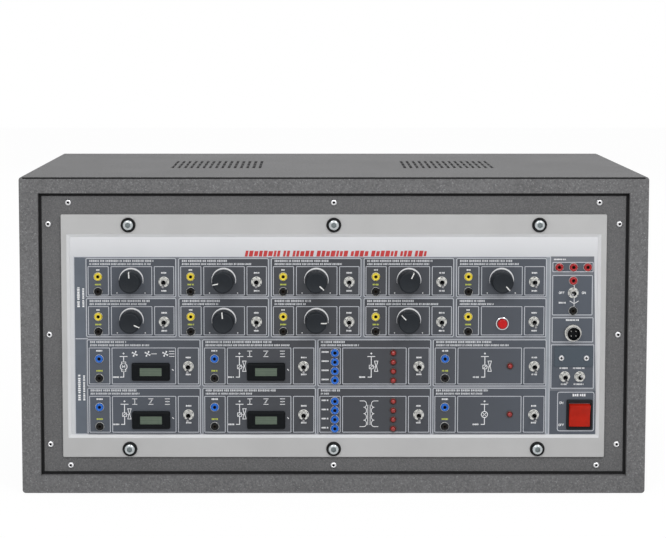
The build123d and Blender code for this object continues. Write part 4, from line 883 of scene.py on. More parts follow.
# Knobs, with a pointer line from the face down the side. Its rows give reach, lower and upper edge
KNOB_PROFILE = [
    (10.45, 0.5), (10.7, 0.8), (10.7, 2.6), (10.62, 9.0), (10.5, 15.6), (10.35, 16.4), (9.95, 17.1),
    (9.4, 17.4), (8.8, 17.45), (8.4, 17.3), (8.2, 17.2),
]
SPINDLE_PROFILE = [(2.95, -4.0), (2.95, 0.6)]
POINTER_ROWS = [
    (4.7, 17.0, 17.26), (8.3, 17.0, 17.36), (9.3, 17.0, 17.5), (10.1, 16.0, 17.14), (10.6, 14.6, 16.2),
    (10.78, 12.6, 13.4),
]
POINTER_HALF, POINTER_ROOT = 0.55, 10.2


class TRAINER_OT_knobs(bpy.types.Operator):
    """Build the knobs with their white pointers and spindles"""

    bl_idname = "trainer.knobs"
    bl_label = "Knobs"

    def execute(self, context):
        for number, ((x, z), mark) in enumerate(zip(KNOBS, KNOB_MARKS), start=1):
            knob = Shape()
            knob.turned((x, z, 0), KNOB_PROFILE, 56)
            knob.turned((x, z, 0), SPINDLE_PROFILE, 16, finish=2)
            middle = Vector((x, z))
            way = Vector((sin(radians(mark)), cos(radians(mark))))
            side = Vector((way.y, -way.x)) * POINTER_HALF
            rows = []
            for reach, low, high in POINTER_ROWS:
                top, root = middle + way * reach, middle + way * min(reach, POINTER_ROOT)
                edge = ((root - side, low), (top - side, high), (top + side, high), (root + side, low))
                rows.append([(*spot, proud) for spot, proud in edge])
            knob.skin(rows, finish=1)
            knob.build(
                f"pointer_knob_{number}", ["knob_black", "pointer_white", "nickel"], "knob_plastic",
                f"knob_{number}", [f"knob_{number}"],
            )
        coat_node("potentiometers", "supply_metal", 0.3)
        return {"FINISHED"}


# Push button: its cap and the ring that it slides in
CAP_PROFILE = [
    (4.6, -4.0), (4.7, -3.6), (4.7, 4.6), (4.5, 5.1), (4.0, 5.4), (3.3, 5.5), (2.2, 5.35), (0.8, 5.25),
]
BUTTON_RING = [
    (5.9, -14.0), (5.9, -0.1), (6.75, 0.0), (6.75, 1.3), (6.5, 1.9), (6.3, 2.1), (5.5, 2.3), (5.3, 2.2),
    (5.15, 1.8), (5.15, -8.0),
]


class TRAINER_OT_button(bpy.types.Operator):
    """Build the push button and its chrome ring"""

    bl_idname = "trainer.button"
    bl_label = "Push button"

    def execute(self, context):
        x, z = BUTTON
        cap = Shape()
        cap.turned((x, z, 0), CAP_PROFILE, 32)
        cap.build("red_button", ["button_red"], "button_red", "button", ["push_button"])
        ring = Shape()
        ring.turned((x, z, 0), BUTTON_RING, 40)
        ring.build("button_ring", ["chrome"], "button_chrome", replaces=["button_bezel"])
        return {"FINISHED"}


# A meter's case, from its body over the rounded front and a step into its window
METER_SECTIONS = [
    (34.2, 13.9, 0.8, -10.0), (34.2, 13.9, 0.8, 0.0), (38.2, 17.9, 1.6, 0.0), (38.2, 17.9, 1.6, 1.9),
    (37.5, 17.2, 1.6 - 0.7 / 3, 2.6), (36.2, 15.9, 1.6 - 2.0 / 3, 3.0), (28.0, 12.4, 1.0, 3.0),
    (27.2, 11.6, 1.0, 2.6), (22.0, 8.1, 0.5, 2.5), (22.0, 8.1, 0.5, 1.4),
]
METER_SCREEN, SCREEN_ENDS = (21.8, 7.9, 0.4), (1.5, 2.4)


class TRAINER_OT_meters(bpy.types.Operator):
    """Build the panel meters: bezels with stepped windows and their screens"""

    bl_idname = "trainer.meters"
    bl_label = "Meters"

    def execute(self, context):
        bezels, screens = Shape(), Shape()
        for x, z in METERS:
            bezels.loft(*outlines(rounded, x, z, METER_SECTIONS))
            screens.plate(rounded(x, z, *METER_SCREEN), *SCREEN_ENDS)
        bezels.build("meter_cases", ["bezel_black"], "meter_black", replaces=["meter_bezels"])
        screens.build("meter_screens", ["meter_screen"], "meter_glass", replaces=["meter_glasses"])
        return {"FINISHED"}


# A lamp's lens is a rod with a dome; its ring is turned
LENS_RADIUS, DOME_FOOT, DOME_HEIGHT, DOME_STEPS = 2.45, 1.6, 1.8, 5
DOME_ANGLES = [pi / 2 * step / DOME_STEPS for step in range(DOME_STEPS)]
LENS_DOME = [(LENS_RADIUS * cos(angle), DOME_FOOT + DOME_HEIGHT * sin(angle)) for angle in DOME_ANGLES]
LENS_PROFILE = [(LENS_RADIUS, -6.0), *LENS_DOME, (0.4, 3.39)]
LAMP_RING = [(3.6, 0.0), (3.55, 0.6), (3.3, 1.0), (2.95, 1.2), (2.7, 1.0), (2.65, 0.0)]


class TRAINER_OT_lamps(bpy.types.Operator):
    """Build the indicator lamps and their rings"""

    bl_idname = "trainer.lamps"
    bl_label = "Lamps"

    def execute(self, context):
        lenses, rings = Shape(), Shape()
        for x, z in LAMPS:
            lenses.turned((x, z, 0), LENS_PROFILE, 20)
            rings.turned((x, z, 0), LAMP_RING, ring=True)
        lenses.build("lamp_domes", ["lamp_red"], "lamp_red", replaces=["led_lenses"])
        rings.build("lamp_rings", ["lamp_ring"], "lamp_ring", replaces=["led_rings"])
        return {"FINISHED"}


# Round connector: shell, insert and pins
SHELL_PROFILE = [
    (7.0, -12.0), (7.0, 0.0), (8.65, 0.0), (8.65, 2.4), (8.3, 3.0), (7.2, 3.0), (7.2, 4.4), (6.95, 4.7),
    (6.95, 5.0), (7.2, 5.3), (7.2, 7.5), (6.95, 8.0), (6.6, 8.0), (6.4, 7.7), (6.4, -10.0),
]
INSERT_PROFILE = [(6.0, -10.0), (6.2, -9.8), (6.2, 1.8), (6.0, 2.0), (4.9, 2.0), (4.8, 1.8)]
PIN_PROFILE, PIN_REACH = [(0.7, 1.7), (0.7, 5.3), (0.5, 5.8), (0.2, 6.0)], 3.4

# Cover plate and power rocker. The paddle's profile gives distance out and up, for its upper half
COVER_SECTIONS = [(39.2, 20.7, 0.8, 0.0), (39.2, 20.7, 0.8, 0.75), (38.7, 20.2, 0.7, 1.0)]
ROCKER_SECTIONS = [
    (24.0, 28.0, 0.8, -22.0), (24.0, 28.0, 0.8, 0.0), (26.1, 30.6, 1.4, 0.0), (26.1, 30.6, 1.4, 1.1),
    (25.4, 29.9, 1.2, 1.75), (24.6, 29.1, 1.0, 2.0), (22.4, 25.4, 0.5, 2.0), (21.6, 24.6, 0.5, 1.6),
    (21.6, 24.6, 0.5, -9.0),
]
PADDLE_CORNER, PADDLE_DISH = [(5.0, 11.3), (5.55, 10.9)], [(4.5, 6.0), (3.9, 2.5)]
PADDLE_HALF, PADDLE_PIVOT, PADDLE_TILT, PADDLE_CREASE = 10.0, -1.0, 10.0, 50


class TRAINER_OT_supply(bpy.types.Operator):
    """Build the round connector, the cover plate and the power rocker"""

    bl_idname = "trainer.supply"
    bl_label = "Supply column"

    def execute(self, context):
        x, z = CONNECTOR
        shell = Shape()
        shell.turned((x, z, 0), SHELL_PROFILE, 36, finish=[0] * 13 + [1])
        shell.build(
            "round_shell", ["connector_metal", "bezel_black"], "connector_metal", replaces=["connector_shell"]
        )
        insert = Shape()
        insert.turned((x, z, 0), INSERT_PROFILE, 32)
        for step in range(4):
            angle = pi / 2 * step + pi / 4
            pin = (x + PIN_REACH * cos(angle), z + PIN_REACH * sin(angle), 0)
            insert.turned(pin, PIN_PROFILE, 12, finish=1)
        insert.build(
            "pin_insert", ["bezel_black", "nickel"], "connector_black", replaces=["connector_insert"]
        )
        cover = Shape()
        cover.loft(*outlines(rounded, *COVER, COVER_SECTIONS))
        cover.build(
            "blank_cover", ["cover_paint"], "cover_paint", replaces=["cover_plate"], crease=PRINT_CREASE
        )
        housing = Shape()
        housing.loft(*outlines(rounded, *ROCKER, ROCKER_SECTIONS))
        housing.build("rocker_case", ["rocker_black"], "rocker_black", replaces=["rocker_housing"])
        paddle = Shape()
        ahead = ahead_of(DOWN, PADDLE_TILT)
        upward = Vector((0, ahead.z, -ahead.y))
        axis = Vector((*ROCKER, PADDLE_PIVOT))
        rows = []
        for side, inset in ((-1, 0.5), (-1, 0.0), (1, 0.0), (1, 0.5)):
            across = Vector((side * (PADDLE_HALF + inset), 0, 0))
            upper = [(out - inset, rise - inset) for out, rise in PADDLE_CORNER]
            upper += [(out - inset, rise) for out, rise in PADDLE_DISH]
            lower = [(out, -rise) for out, rise in reversed(upper)]
            profile = [(-4.0, -11.0), (-4.0, 11.0), *upper, (3.65 - inset, 0.0), *lower]
            rows.append([axis + across + ahead * out + upward * rise for out, rise in profile])
        paddle.skin(rows)
        paddle.build(
            "rocker_paddle", ["rocker_red"], "rocker_red", "rocker", ["power_rocker"], crease=PADDLE_CREASE
        )
        return {"FINISHED"}


# Print heights above the panel, in millimetres
FIELD, CARD, LINE = 0.05, 0.1, 0.15

# Corner radii of the print, and the width of a cell's frame as a share of a module's
BAND_CORNER, CARD_CORNER, SUPPLY_CORNER = 0.4, 1.4, 0.8
CARD_LINE_CORNER, CELL_LINE_CORNER, SUPPLY_LINE_CORNER, POWER_LINE_CORNER = 1.6, 0.8, 1.0, 2.4
CELL_LINE_SHARE = 0.85

# Edges of the printed blocks: left, right, low, high from the middle of the panel
PRINT_AREA = (-259.7, 263.0, -100.0, 80.2)
# The right edge of the print leans inward from this height up; the first number is its place at the top
PRINT_SLANT = (259.7, -60.0)
SIDE_BANDS = [(-258.4, -248.2, -2.2, 79.4), (-258.4, -248.2, -99.6, -3.4)]
DIVIDER = (211.9, 215.9, -100.0, 80.0)
SENSOR_CARD = (-45.0, 45.2, -12.5, 26.9)
SENSOR_CELLS = [(-43.0, -22.1, -10.6, 18.7), (-20.0, 21.2, -10.6, 18.7), (23.1, 43.2, -10.6, 18.7)]
ACTUATOR_CARD = (-56.9, 56.8, -23.7, 23.9)
ACTUATOR_CELLS = [(-55.0, -33.8, -21.6, 15.6), (-32.1, 32.2, -21.6, 15.6), (34.0, 55.2, -21.6, 15.6)]
MODULES = [(SENSOR_CARD, SENSOR_CELLS, SENSORS), (ACTUATOR_CARD, ACTUATOR_CELLS, ACTUATORS)]
MODULES_FRAME = (-259.7, 216.6, -100.0, 80.2)
BAND_BREAK = [(-258.4, -2.8), (-246.0, -2.8)]
SUPPLY_CARDS = [
    (218.2, 259.1, 64.4, 74.6), (218.2, 258.6, 20.9, 61.4), (218.2, 259.7, -6.4, 18.8),
    (217.5, 260.8, -53.4, -8.6),
]
POWER_CARD = (217.0, 262.6, -99.6, -55.6)
POWER_FRAME = (224.4, 261.7, -96.8, -56.6)
ROCKER_HOLE = (24.6, 28.6, 1.0)


def corners(edges, radius, shift=(0.0, 0.0), inset=0.0):
    """Rounded outline of a block from its left, right, low and high edges."""
    left, right, low, high = edges
    x, z = (left + right) / 2 + shift[0], (low + high) / 2 + shift[1]
    return rounded(x, z, right - left - 2 * inset, high - low - 2 * inset, max(radius - inset, 0.2))


class TRAINER_OT_fields(bpy.types.Operator):
    """Print the grounds of the panel: the grey area, the side bands and the dark modules"""

    bl_idname = "trainer.fields"
    bl_label = "Printed grounds"

    def execute(self, context):
        grounds = Shape()
        left, right, low, high = PRINT_AREA
        slant_top, slant_foot = PRINT_SLANT
        area = [(slant_top, high), (left, high), (left, low), (right, low), (right, slant_foot)]
        grounds.plate(area, 0.0, FIELD)
        for band in SIDE_BANDS:
            grounds.plate(corners(band, BAND_CORNER), 0.0, CARD, 1)
        grounds.plate(corners(DIVIDER, BAND_CORNER), 0.0, CARD, 3)
        for card, _, spots in MODULES:
            for spot in spots:
                grounds.plate(corners(card, CARD_CORNER, spot), 0.0, CARD, 2)
        for card in SUPPLY_CARDS:
            grounds.plate(corners(card, SUPPLY_CORNER), 0.0, CARD, 2)
        grounds.border(corners(POWER_CARD, SUPPLY_CORNER), rounded(*ROCKER, *ROCKER_HOLE), 0.0, CARD, 2)
        inks = ["band_ink", "side_ink", "field_ink", "divider_ink"]
        grounds.build("printed_grounds", inks, "panel_print", crease=PRINT_CREASE)
        return {"FINISHED"}


class TRAINER_OT_lines(bpy.types.Operator):
    """Print the pale frames round the modules and their cells"""

    bl_idname = "trainer.lines"
    bl_label = "Printed frames"

    def execute(self, context):
        line = context.scene.trainer_sizes.line
        frames = Shape()

        def draw(edges, radius, spot=(0.0, 0.0), width=line):
            frames.border(corners(edges, radius, spot), corners(edges, radius, spot, width), 0.0, LINE)

        for card, cells, spots in MODULES:
            for spot in spots:
                draw(card, CARD_LINE_CORNER, spot)
                for cell in cells:
                    draw(cell, CELL_LINE_CORNER, spot, line * CELL_LINE_SHARE)
        for card in SUPPLY_CARDS:
            draw(card, SUPPLY_LINE_CORNER)
        draw(POWER_FRAME, POWER_LINE_CORNER)
        draw(MODULES_FRAME, BAND_CORNER)
        frames.stroke(BAND_BREAK, line, 0.0, LINE)
        frames.build("printed_frames", ["line_ink"], "panel_print", crease=PRINT_CREASE)
        return {"FINISHED"}


def arc(x, z, radius, start, end, steps):
    """Points on an arc; angles are degrees clockwise from straight up."""
    turns = [radians(start + (end - start) * step / steps) for step in range(steps + 1)]
    return [(x + radius * sin(turn), z + radius * cos(turn)) for turn in turns]


# Widths of the printed signs' usual lines
THIN, SUPPLY_LINE = 0.65, 0.8


class Symbols(Shape):
    """Printed marks: lines, rings, crosses and the signs of the actuators."""

    def line(self, *points, width=THIN, closed=False):
        self.stroke(points, width, 0.0, LINE, closed)

    def ring(self, x, z, radius, width):
        self.line(*arc(x, z, radius, 0, 345, 23), width=width, closed=True)

    def dot(self, x, z, radius):
        self.plate(circle(x, z, radius, 10), 0.0, LINE)

    def box(self, x, z, width, height):
        inner = rounded(x, z, width - 1.1, height - 1.1, 0.2)
        self.border(rounded(x, z, width, height, 0.3), inner, 0.0, LINE)

    def supply_line(self, x, top, foot, gap):
        """A plus sign over a bar, and a line down from it, with a gap, that turns left at its foot."""
        self.line((x - 1.0, top), (x + 1.0, top), width=0.7)
        self.line((x, top - 1.0), (x, top - 0.35), width=0.7)
        self.line((x, top + 0.35), (x, top + 1.0), width=0.7)
        self.line((x - 3.9, top - 3.0), (x + 3.9, top - 3.0), width=0.75)
        self.line((x, top - 3.3), (x, gap[0]), width=SUPPLY_LINE)
        self.line((x, gap[1]), (x, foot), (x - 3.6, foot), width=SUPPLY_LINE)

    def valve(self, x, top, foot):
        """A solenoid box on the line, beside the bow tie of its valve."""
        middle = top - 13.6
        self.supply_line(x, top, foot, (middle + 2.1, middle - 2.1))
        self.box(x, middle, 4.6, 4.2)
        self.line((x - 1.4, middle - 1.2), (x + 1.4, middle + 1.2), width=0.6)
        bow_x, bow_z = x + 4.9, middle + 0.8
        bow = ((-1.7, 5.2), (1.7, 5.2), (0.3, 0.0), (1.7, -5.2), (-1.7, -5.2), (-0.3, 0.0))
        self.line(*((bow_x + reach, bow_z + rise) for reach, rise in bow), closed=True)
        self.line((x + 2.3, middle), (bow_x - 0.4, middle), width=0.6)

    def motor(self, x, top, foot):
        """A motor's ring with its letter and two brushes, on the line."""
        middle = top - 13.3
        self.supply_line(x, top, foot, (middle + 4.7, middle - 4.7))
        self.ring(x, middle, 3.4, 0.8)
        for side in (-1, 1):
            self.box(x, middle + side * 4.1, 4.8, 1.9)
        letter = ((-1.2, -1.2), (-1.2, 1.2), (0.0, -0.4), (1.2, 1.2), (1.2, -1.2))
        self.line(*((x + reach, middle + rise) for reach, rise in letter), width=0.55)

    def lamp(self, x, top, foot):
        """A ring with a cross, on the line."""
        middle = top - 13.4
        self.supply_line(x, top, foot, (middle + 3.4, middle - 3.4))
        self.ring(x, middle, 3.1, 0.75)
        for side in (-1, 1):
            self.line((x - 2.2, middle - side * 2.2), (x + 2.2, middle + side * 2.2), width=0.55)

    def fan(self, x, z, streams):
        """A four-bladed fan, with lines for the air that it moves."""
        self.dot(x, z, 0.8)
        for quarter in range(4):
            turn = 90 * quarter + 10
            root, tip = arc(x, z, 0.3, turn + 20, turn + 20, 1)[0], arc(x, z, 3.1, turn, turn + 34, 3)
            self.plate([root, *tip, arc(x, z, 1.3, turn + 42, turn + 42, 1)[0]][::-1], 0.0, LINE)
        for rise in streams:
            self.line((x + 3.8, z + rise), (x + 9.2, z + rise), width=0.6)

    def throttle(self, x, z, turn):
        """Two duct walls and the flap between them."""
        for rise in (-2.8, 2.8):
            self.line((x - 2.5, z + rise), (x + 2.5, z + rise), width=0.6)
        way = Vector((sin(radians(turn)), cos(radians(turn)))) * 2.2
        self.line((x - way.x, z - way.y), (x + way.x, z + way.y), width=0.8)
        self.dot(x, z, 0.75)

    def transformer(self, x, z):
        """Two windings with four turns each, either side of the core."""
        for side in (-1, 1):
            points = [(x + side * 9.4, z + COIL_CUSPS[0])]
            for high, low in zip(COIL_CUSPS, COIL_CUSPS[1:]):
                middle, reach = (high + low) / 2, (high - low) / 2
                for step in range(7):
                    turn = pi * step / 6
                    points.append((x + side * (5.0 - 2.6 * sin(turn)), z + middle + reach * cos(turn)))
            points.append((x + side * 9.4, z + COIL_CUSPS[-1]))
            points = [point for number, point in enumerate(points) if point != points[number - 1]]
            self.line(*points, width=0.6)
            self.line((x + side * 1.2, z + 6.6), (x + side * 1.2, z - 13.9), width=0.6)


# Dials: a swelling arc round each knob, in degrees clockwise from straight up, over two dots
DIAL_RADIUS, DIAL_START, DIAL_STEP, DIAL_STEPS = 12.0, -104, 5.2, 40
DIAL_THIN, DIAL_SWELL, DIAL_PEAK = 0.3, 1.4, 10
DIAL_SHIFT, DOT_REACH, DOT_DROP, DOT_RADIUS = 0.2, 14.0, 12.4, 0.6

# Signs of the actuators with their places from a module's middle, and their tops and feet in the two rows
SIGNS = [
    ("motor", -20.2), ("valve", -19.7), ("valve", -3.1), ("valve", -4.8),
    ("valve", -19.7), ("valve", -19.7), ("transformer", -5.3), ("lamp", -4.8),
]
SIGN_TOPS, SIGN_FEET = (9.6, 10.2), (-14.3, -13.3)

# Over each meter: fans with their streams beside the motor, or flaps with their angles beside a valve
FANS, FAN_RISE = [(-9.1, ()), (3.8, (0.0,)), (21.5, (-2.6, 0.0, 2.6))], 9.3
FLAPS, FLAP_DROP = [(-9.4, 0), (6.8, 35), (23.4, 90)], 0.3
METER_TICK = ((28.2, -6.2), (29.8, -7.6))
COIL_CUSPS = [10.6, 4.1, -2.4, -9.0, -15.6]
SUPPLY_WIRES = [
    [(SUPPLY_X + 1.0, 51.5), (SUPPLY_X + 1.0, 48.8)], [(SUPPLY_X + 1.0, 38.4), (SUPPLY_X + 1.0, 30.4)],
    [(SUPPLY_X - 3.4, 35.4), (SUPPLY_X + 1.0, 32.6), (SUPPLY_X + 5.4, 35.4)],
]


class TRAINER_OT_symbols(bpy.types.Operator):
    """Print the dial arcs and the signs of the actuators"""

    bl_idname = "trainer.symbols"
    bl_label = "Printed signs"

    def execute(self, context):
        signs = Symbols()
        turns = [DIAL_START + DIAL_STEP * step for step in range(DIAL_STEPS + 1)]
        swells = [max(0.0, cos(radians(turn - DIAL_PEAK) * 0.92)) ** 1.3 for turn in turns]
        widths = [DIAL_THIN + DIAL_SWELL * swell for swell in swells]
        for x, z in KNOBS:
            dial = arc(x + DIAL_SHIFT, z + DIAL_SHIFT, DIAL_RADIUS, turns[0], turns[-1], DIAL_STEPS)
            signs.stroke(dial, widths, 0.0, LINE)
            for side in (-1, 1):
                signs.dot(x + side * DOT_REACH, z - DOT_DROP, DOT_RADIUS)
        for number, ((x, z), (sign, shift)) in enumerate(zip(ACTUATORS, SIGNS)):
            top, foot = z + SIGN_TOPS[number // 4], z + SIGN_FEET[number // 4]
            if sign == "transformer":
                signs.transformer(x + shift, z)
            else:
                getattr(signs, sign)(x + shift, top, foot)
            if (x, z) in METER_MODULES:
                if sign == "motor":
                    for reach, streams in FANS:
                        signs.fan(x + reach, z + FAN_RISE, streams)
                else:
                    for reach, turn in FLAPS:
                        signs.throttle(x + reach, top - FLAP_DROP, turn)
                signs.line(*((x + reach, z + rise) for reach, rise in METER_TICK), width=0.8)
        for points in SUPPLY_WIRES:
            signs.line(*points)
        signs.build("printed_signs", ["word_ink"], "panel_print", crease=PRINT_CREASE)
        return {"FINISHED"}


# Labels are rows of plain blocks. Sizes are shares of the row's height
BLOCK_WIDTHS = (0.62, 0.46, 0.72, 0.56, 0.66, 0.4, 0.6)
WORD_BLOCKS = (6, 3, 8, 2, 5, 7, 4)
LOW_BLOCK, BLOCK_GAP, WORD_GAP, LAST_GAP = 0.84, 0.2, 0.35, 0.25


def word_row(shape, x, z, length, height, finish=0, upright=False, start=0, slant=0.0):
    """One row of letter-sized blocks, from its left end or, where it is upright, its lower end."""
    along, block, word = 0.0, start, start
    left = WORD_BLOCKS[word % len(WORD_BLOCKS)]
    while along < length - LAST_GAP * height:
        share = BLOCK_WIDTHS[(block * 3 + word) % len(BLOCK_WIDTHS)]
        width = min(share * height, length - along)
        tall = height / 2 * (LOW_BLOCK if (block + word) % 3 == 0 else 1.0)
        ends = ((0.0, -tall), (width, -tall), (width, tall), (0.0, tall))
        points = [(along + reach + slant * rise, rise) for reach, rise in ends]
        if upright:
            points = [(-rise, reach) for reach, rise in points]
        shape.plate([(x + across, z + up) for across, up in points], 0.0, LINE, finish)
        along += width + BLOCK_GAP * height
        block += 1
        left -= 1
        if not left:
            word += 1
            left = WORD_BLOCKS[word % len(WORD_BLOCKS)]
            along += WORD_GAP * height


def label_rows(shape, spot, labels, start):
    """The rows of blocks round the middle of one module."""
    for across, up, length, height, finish in labels:
        word_row(shape, spot[0] + across, spot[1] + up, length, height, finish, start=start)


# Strokes of the three capitals that the switches carry, on a box 0.7 wide and 1 high
CAPITAL_HEIGHT, CAPITAL_STROKE = 2.0, 0.5
CAPITALS = {
    "O": [[
        (0.0, 0.25), (0.15, 0.0), (0.55, 0.0), (0.7, 0.25), (0.7, 0.75), (0.55, 1.0), (0.15, 1.0),
        (0.0, 0.75), (0.0, 0.25),
    ]],
    "N": [[(0.0, 0.0), (0.0, 1.0), (0.7, 0.0), (0.7, 1.0)]],
    "F": [[(0.0, 0.0), (0.0, 1.0), (0.65, 1.0)], [(0.0, 0.52), (0.5, 0.52)]],
}


def switch_word(shape, text, x, z):
    """ON or OFF beside a switch, centred on its place."""
    left, foot = x - CAPITAL_HEIGHT * (len(text) - 0.3) / 2, z - CAPITAL_HEIGHT / 2
    for number, letter in enumerate(text):
        for stroke in CAPITALS[letter]:
            points = [(number + reach, rise) for reach, rise in stroke]
            points = [(left + CAPITAL_HEIGHT * across, foot + CAPITAL_HEIGHT * up) for across, up in points]
            shape.stroke(points, CAPITAL_STROKE, 0.0, LINE)


# Lengths of the two title rows of each module
SENSOR_TITLES = [
    (64, 62), (45, 69), (54, 67), (65, 63), (53, 59), (60, 57), (38, 36), (37, 31), (47, 71), (25, 34),
]
ACTUATOR_TITLES = [(36, 59), (67, 84), (24, 38), (55, 73), (46, 49), (71, 47), (19.5, 8), (52, 47)]

# Titles: the modules, the lengths of their rows, left end, places of the two rows and first block
TITLES = [
    (SENSORS, SENSOR_TITLES, -41.4, (24.1, 20.9), 0), (ACTUATORS, ACTUATOR_TITLES, -53.6, (21.3, 18.0), 1)
]
PANEL_TITLE = (-88.2, 83.0, 180.6, 5.9)

# Labels round a module's middle: left end, place of the row, its length and height, and its ink
SENSOR_LABELS = [
    (SENSOR_SOCKET_X - 1.8, 15.0, 3.8, 1.5, 0), (SENSOR_SOCKET_X - 3.0, 0.3, 6.2, 1.6, 1),
    (SENSOR_TOGGLE[0] - 2.6, 12.1, 5.4, 1.6, 0), (SENSOR_TOGGLE[0] - 2.6, -6.0, 5.4, 1.6, 0),
]
ACTUATOR_LABELS = [(ACTUATOR_TOGGLE[0] - 2.6, rise, 5.4, 1.6, 0) for rise in (5.6, -11.6)]
STACK_LABELS = [(-52.8, step + 0.9, 7.0, 1.6, 0) for step in STACK_STEPS]
SINGLE_LABELS = [(ACTUATOR_SOCKET_X - 3.0, 12.4, 6.2, 1.7, 0), (ACTUATOR_SOCKET_X - 3.0, -7.9, 6.4, 1.7, 1)]
SIGN_LABELS = (-31.0, -31.0, -15.2, -16.6)

# Labels of the side bands and of the supply column: left or lower end, length, height and first block
BAND_LABELS = [
    (-255.0, 29.2, 20.0, 2.6, 1), (-250.2, 29.2, 20.0, 2.0, 4),
    (-255.0, -65.4, 26.4, 2.6, 1), (-250.2, -65.4, 26.4, 2.0, 4),
]
SUPPLY_LABELS = [
    (219.6, 77.2, 12.4, 1.4, 2), (224.8, 33.6, 7.0, 1.7, 1), (232.2, 16.1, 13.6, 1.8, 5),
    (226.4, -32.6, 8.0, 1.6, 3), (239.9, -32.6, 11.4, 1.6, 3), (227.9, -48.9, 5.6, 1.6, 3),
    (240.7, -48.9, 9.8, 1.6, 3), (239.8, -60.0, 13.4, 2.6, 1),
]
SWITCH_WORDS = [
    ("OFF", SUPPLY_X - 11.4, 43.6), ("ON", SUPPLY_X + 10.6, 43.6), ("ON", 228.6, -67.8),
    ("OFF", 228.8, -90.4),
]


class TRAINER_OT_words(bpy.types.Operator):
    """Print the labels as rows of plain blocks, and ON and OFF at the switches"""

    bl_idname = "trainer.words"
    bl_label = "Printed rows"

    def execute(self, context):
        rows = Shape()
        for spots, lengths, left, (upper, lower), block in TITLES:
            for number, ((x, z), (first, second)) in enumerate(zip(spots, lengths), start=block):
                word_row(rows, x + left, z + upper, first, 2.2, 3, start=number)
                word_row(rows, x + left, z + lower, second, 1.9, 3, start=number + 3, slant=0.15)
        for number, spot in enumerate(SENSORS):
            label_rows(rows, spot, SENSOR_LABELS, number)
        for number, spot in enumerate(ACTUATORS):
            label_rows(rows, spot, ACTUATOR_LABELS, number)
            label_rows(rows, spot, STACK_LABELS if spot in STACKS else SINGLE_LABELS, number)
            if SIGNS[number][0] != "transformer":
                foot = (SIGN_LABELS[number % 4], SIGN_FEET[number // 4])
                label_rows(rows, spot, [(*foot, 6.0, 1.6, 0)], number)
        for x, z, length, height, block in BAND_LABELS:
            word_row(rows, x, z, length, height, upright=True, start=block)
        for x, z, length, height, block in SUPPLY_LABELS:
            word_row(rows, x, z, length, height, start=block)
        word_row(rows, *PANEL_TITLE, 2, start=2, slant=0.2)
        for text, x, z in SWITCH_WORDS:
            switch_word(rows, text, x, z)
        inks = ["word_ink", "signal_ink", "title_ink", "caption_ink"]
        rows.build("printed_rows", inks, "panel_print", crease=PRINT_CREASE)
        return {"FINISHED"}


class TRAINER_OT_inside(bpy.types.Operator):
    """Coat the board and the supply box"""

    bl_idname = "trainer.inside"
    bl_label = "Inside"

    def execute(self, context):
        coat_node("circuit_board", "board_green", 0.2)
        coat_node("power_supply", "supply_metal", 0.4)
        return {"FINISHED"}


class TRAINER_OT_stage(bpy.types.Operator):
    """Set the floor, the lamps, the background and the camera"""

    bl_idname = "trainer.stage"
    bl_label = "Studio"

    def execute(self, context):
        scene = context.scene
        scene.view_settings.view_transform = "Standard"
        data = bpy.data.meshes.new("floor")
        signs = ((-1, -1), (1, -1), (1, 1), (-1, 1))
        data.from_pydata([(FLOOR_REACH * x, FLOOR_REACH * y, 0) for x, y in signs], [], [(0, 1, 2, 3)])
        floor = bpy.data.objects.new("floor", data)
        context.collection.objects.link(floor)
        data.materials.append(floor_finish())
        for name, energy, size, spot in LIGHTS:
            lamp = bpy.data.lights.new(name, "AREA")
            lamp.shape, lamp.energy = "RECTANGLE", energy
            lamp.size, lamp.size_y = size
            light = bpy.data.objects.new(name, lamp)
            light.location = spot
            light.rotation_euler = (Vector(LIGHT_TARGET) - Vector(spot)).to_track_quat("-Z", "Y").to_euler()
            context.collection.objects.link(light)
        backdrop(scene)
        lens = bpy.data.cameras.new("camera")
        lens.lens, lens.sensor_width = LENS, 36.0
        lens.shift_x, lens.shift_y = SHIFT
        lens.clip_end = 50.0
        camera = bpy.data.objects.new("camera", lens)
        camera.location = CAMERA
        camera.rotation_euler = (radians(90.0 - TILT), 0, 0)
        context.collection.objects.link(camera)
        scene.camera = camera
        return {"FINISHED"}


def backdrop(scene):
    """A white background where it is seen, and soft even light everywhere else."""
    world = bpy.data.worlds.new("backdrop")
    scene.world = world
    world.use_nodes = True
    nodes = Nodes(world.node_tree)
    light, white = [
        nodes.node("ShaderNodeBackground", {}, {"Color": (1, 1, 1, 1), "Strength": strength})
        for strength in (AMBIENT, 1.0)
    ]
    nodes.close("World Output", nodes.seen(), light, white)


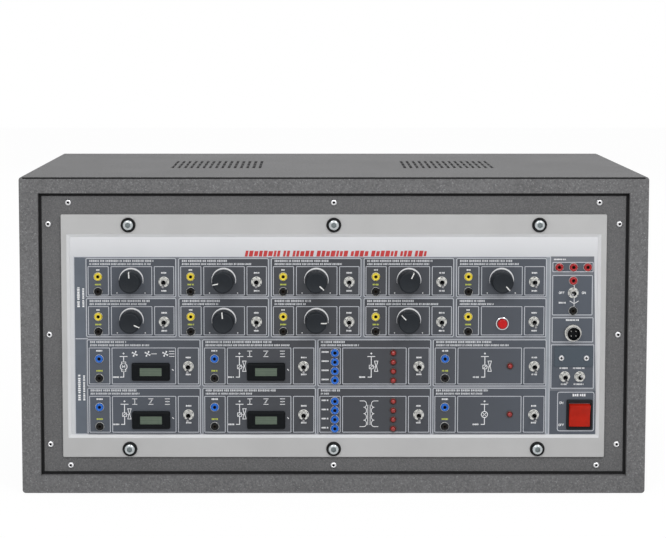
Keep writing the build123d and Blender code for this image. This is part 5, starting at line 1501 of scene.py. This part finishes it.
def floor_finish():
    """Pale floor that reads white and keeps part of the shadow."""
    recipe = Recipe("floor_white", Roughness=0.9, Specular_IOR_Level=0.1)
    glow = recipe.node("ShaderNodeEmission", {}, {"Strength": FLOOR_GLOW})
    recipe.close("Material Output", recipe.seen() * FLOOR_SHARE, Term(recipe, recipe.shader.outputs[0]), glow)
    return recipe.finish(recipe.blend(recipe.noise(400.0), tone(236, 236, 236), tone(244, 244, 244)))


OPERATORS = (
    TRAINER_OT_case, TRAINER_OT_seams, TRAINER_OT_plate, TRAINER_OT_bolts, TRAINER_OT_screws,
    TRAINER_OT_fasteners, TRAINER_OT_inlet, TRAINER_OT_sockets, TRAINER_OT_toggles, TRAINER_OT_knobs,
    TRAINER_OT_button, TRAINER_OT_meters, TRAINER_OT_lamps, TRAINER_OT_supply, TRAINER_OT_fields,
    TRAINER_OT_lines, TRAINER_OT_symbols, TRAINER_OT_words, TRAINER_OT_inside, TRAINER_OT_stage,
)


class TRAINER_PT_build(bpy.types.Panel):
    """Buttons that build the trainer piece by piece"""

    bl_label = "Trainer"
    bl_space_type = "VIEW_3D"
    bl_region_type = "UI"
    bl_category = "Trainer"

    def draw(self, context):
        for settings in (context.scene.trainer_sizes, context.scene.trainer_colours):
            for name in settings.__annotations__:
                self.layout.prop(settings, name)
        for operator in OPERATORS:
            self.layout.operator(operator.bl_idname)


CLASSES = (TrainerSizes, TrainerColours, *OPERATORS, TRAINER_PT_build)


def register():
    for kind in CLASSES:
        bpy.utils.register_class(kind)
    bpy.types.Scene.trainer_sizes = bpy.props.PointerProperty(type=TrainerSizes)
    bpy.types.Scene.trainer_colours = bpy.props.PointerProperty(type=TrainerColours)


def unregister():
    del bpy.types.Scene.trainer_sizes, bpy.types.Scene.trainer_colours
    for kind in reversed(CLASSES):
        bpy.utils.unregister_class(kind)


def main():
    register()
    for operator in OPERATORS:
        group, name = operator.bl_idname.split(".")
        getattr(getattr(bpy.ops, group), name)()


if __name__ == "__main__":
    main()
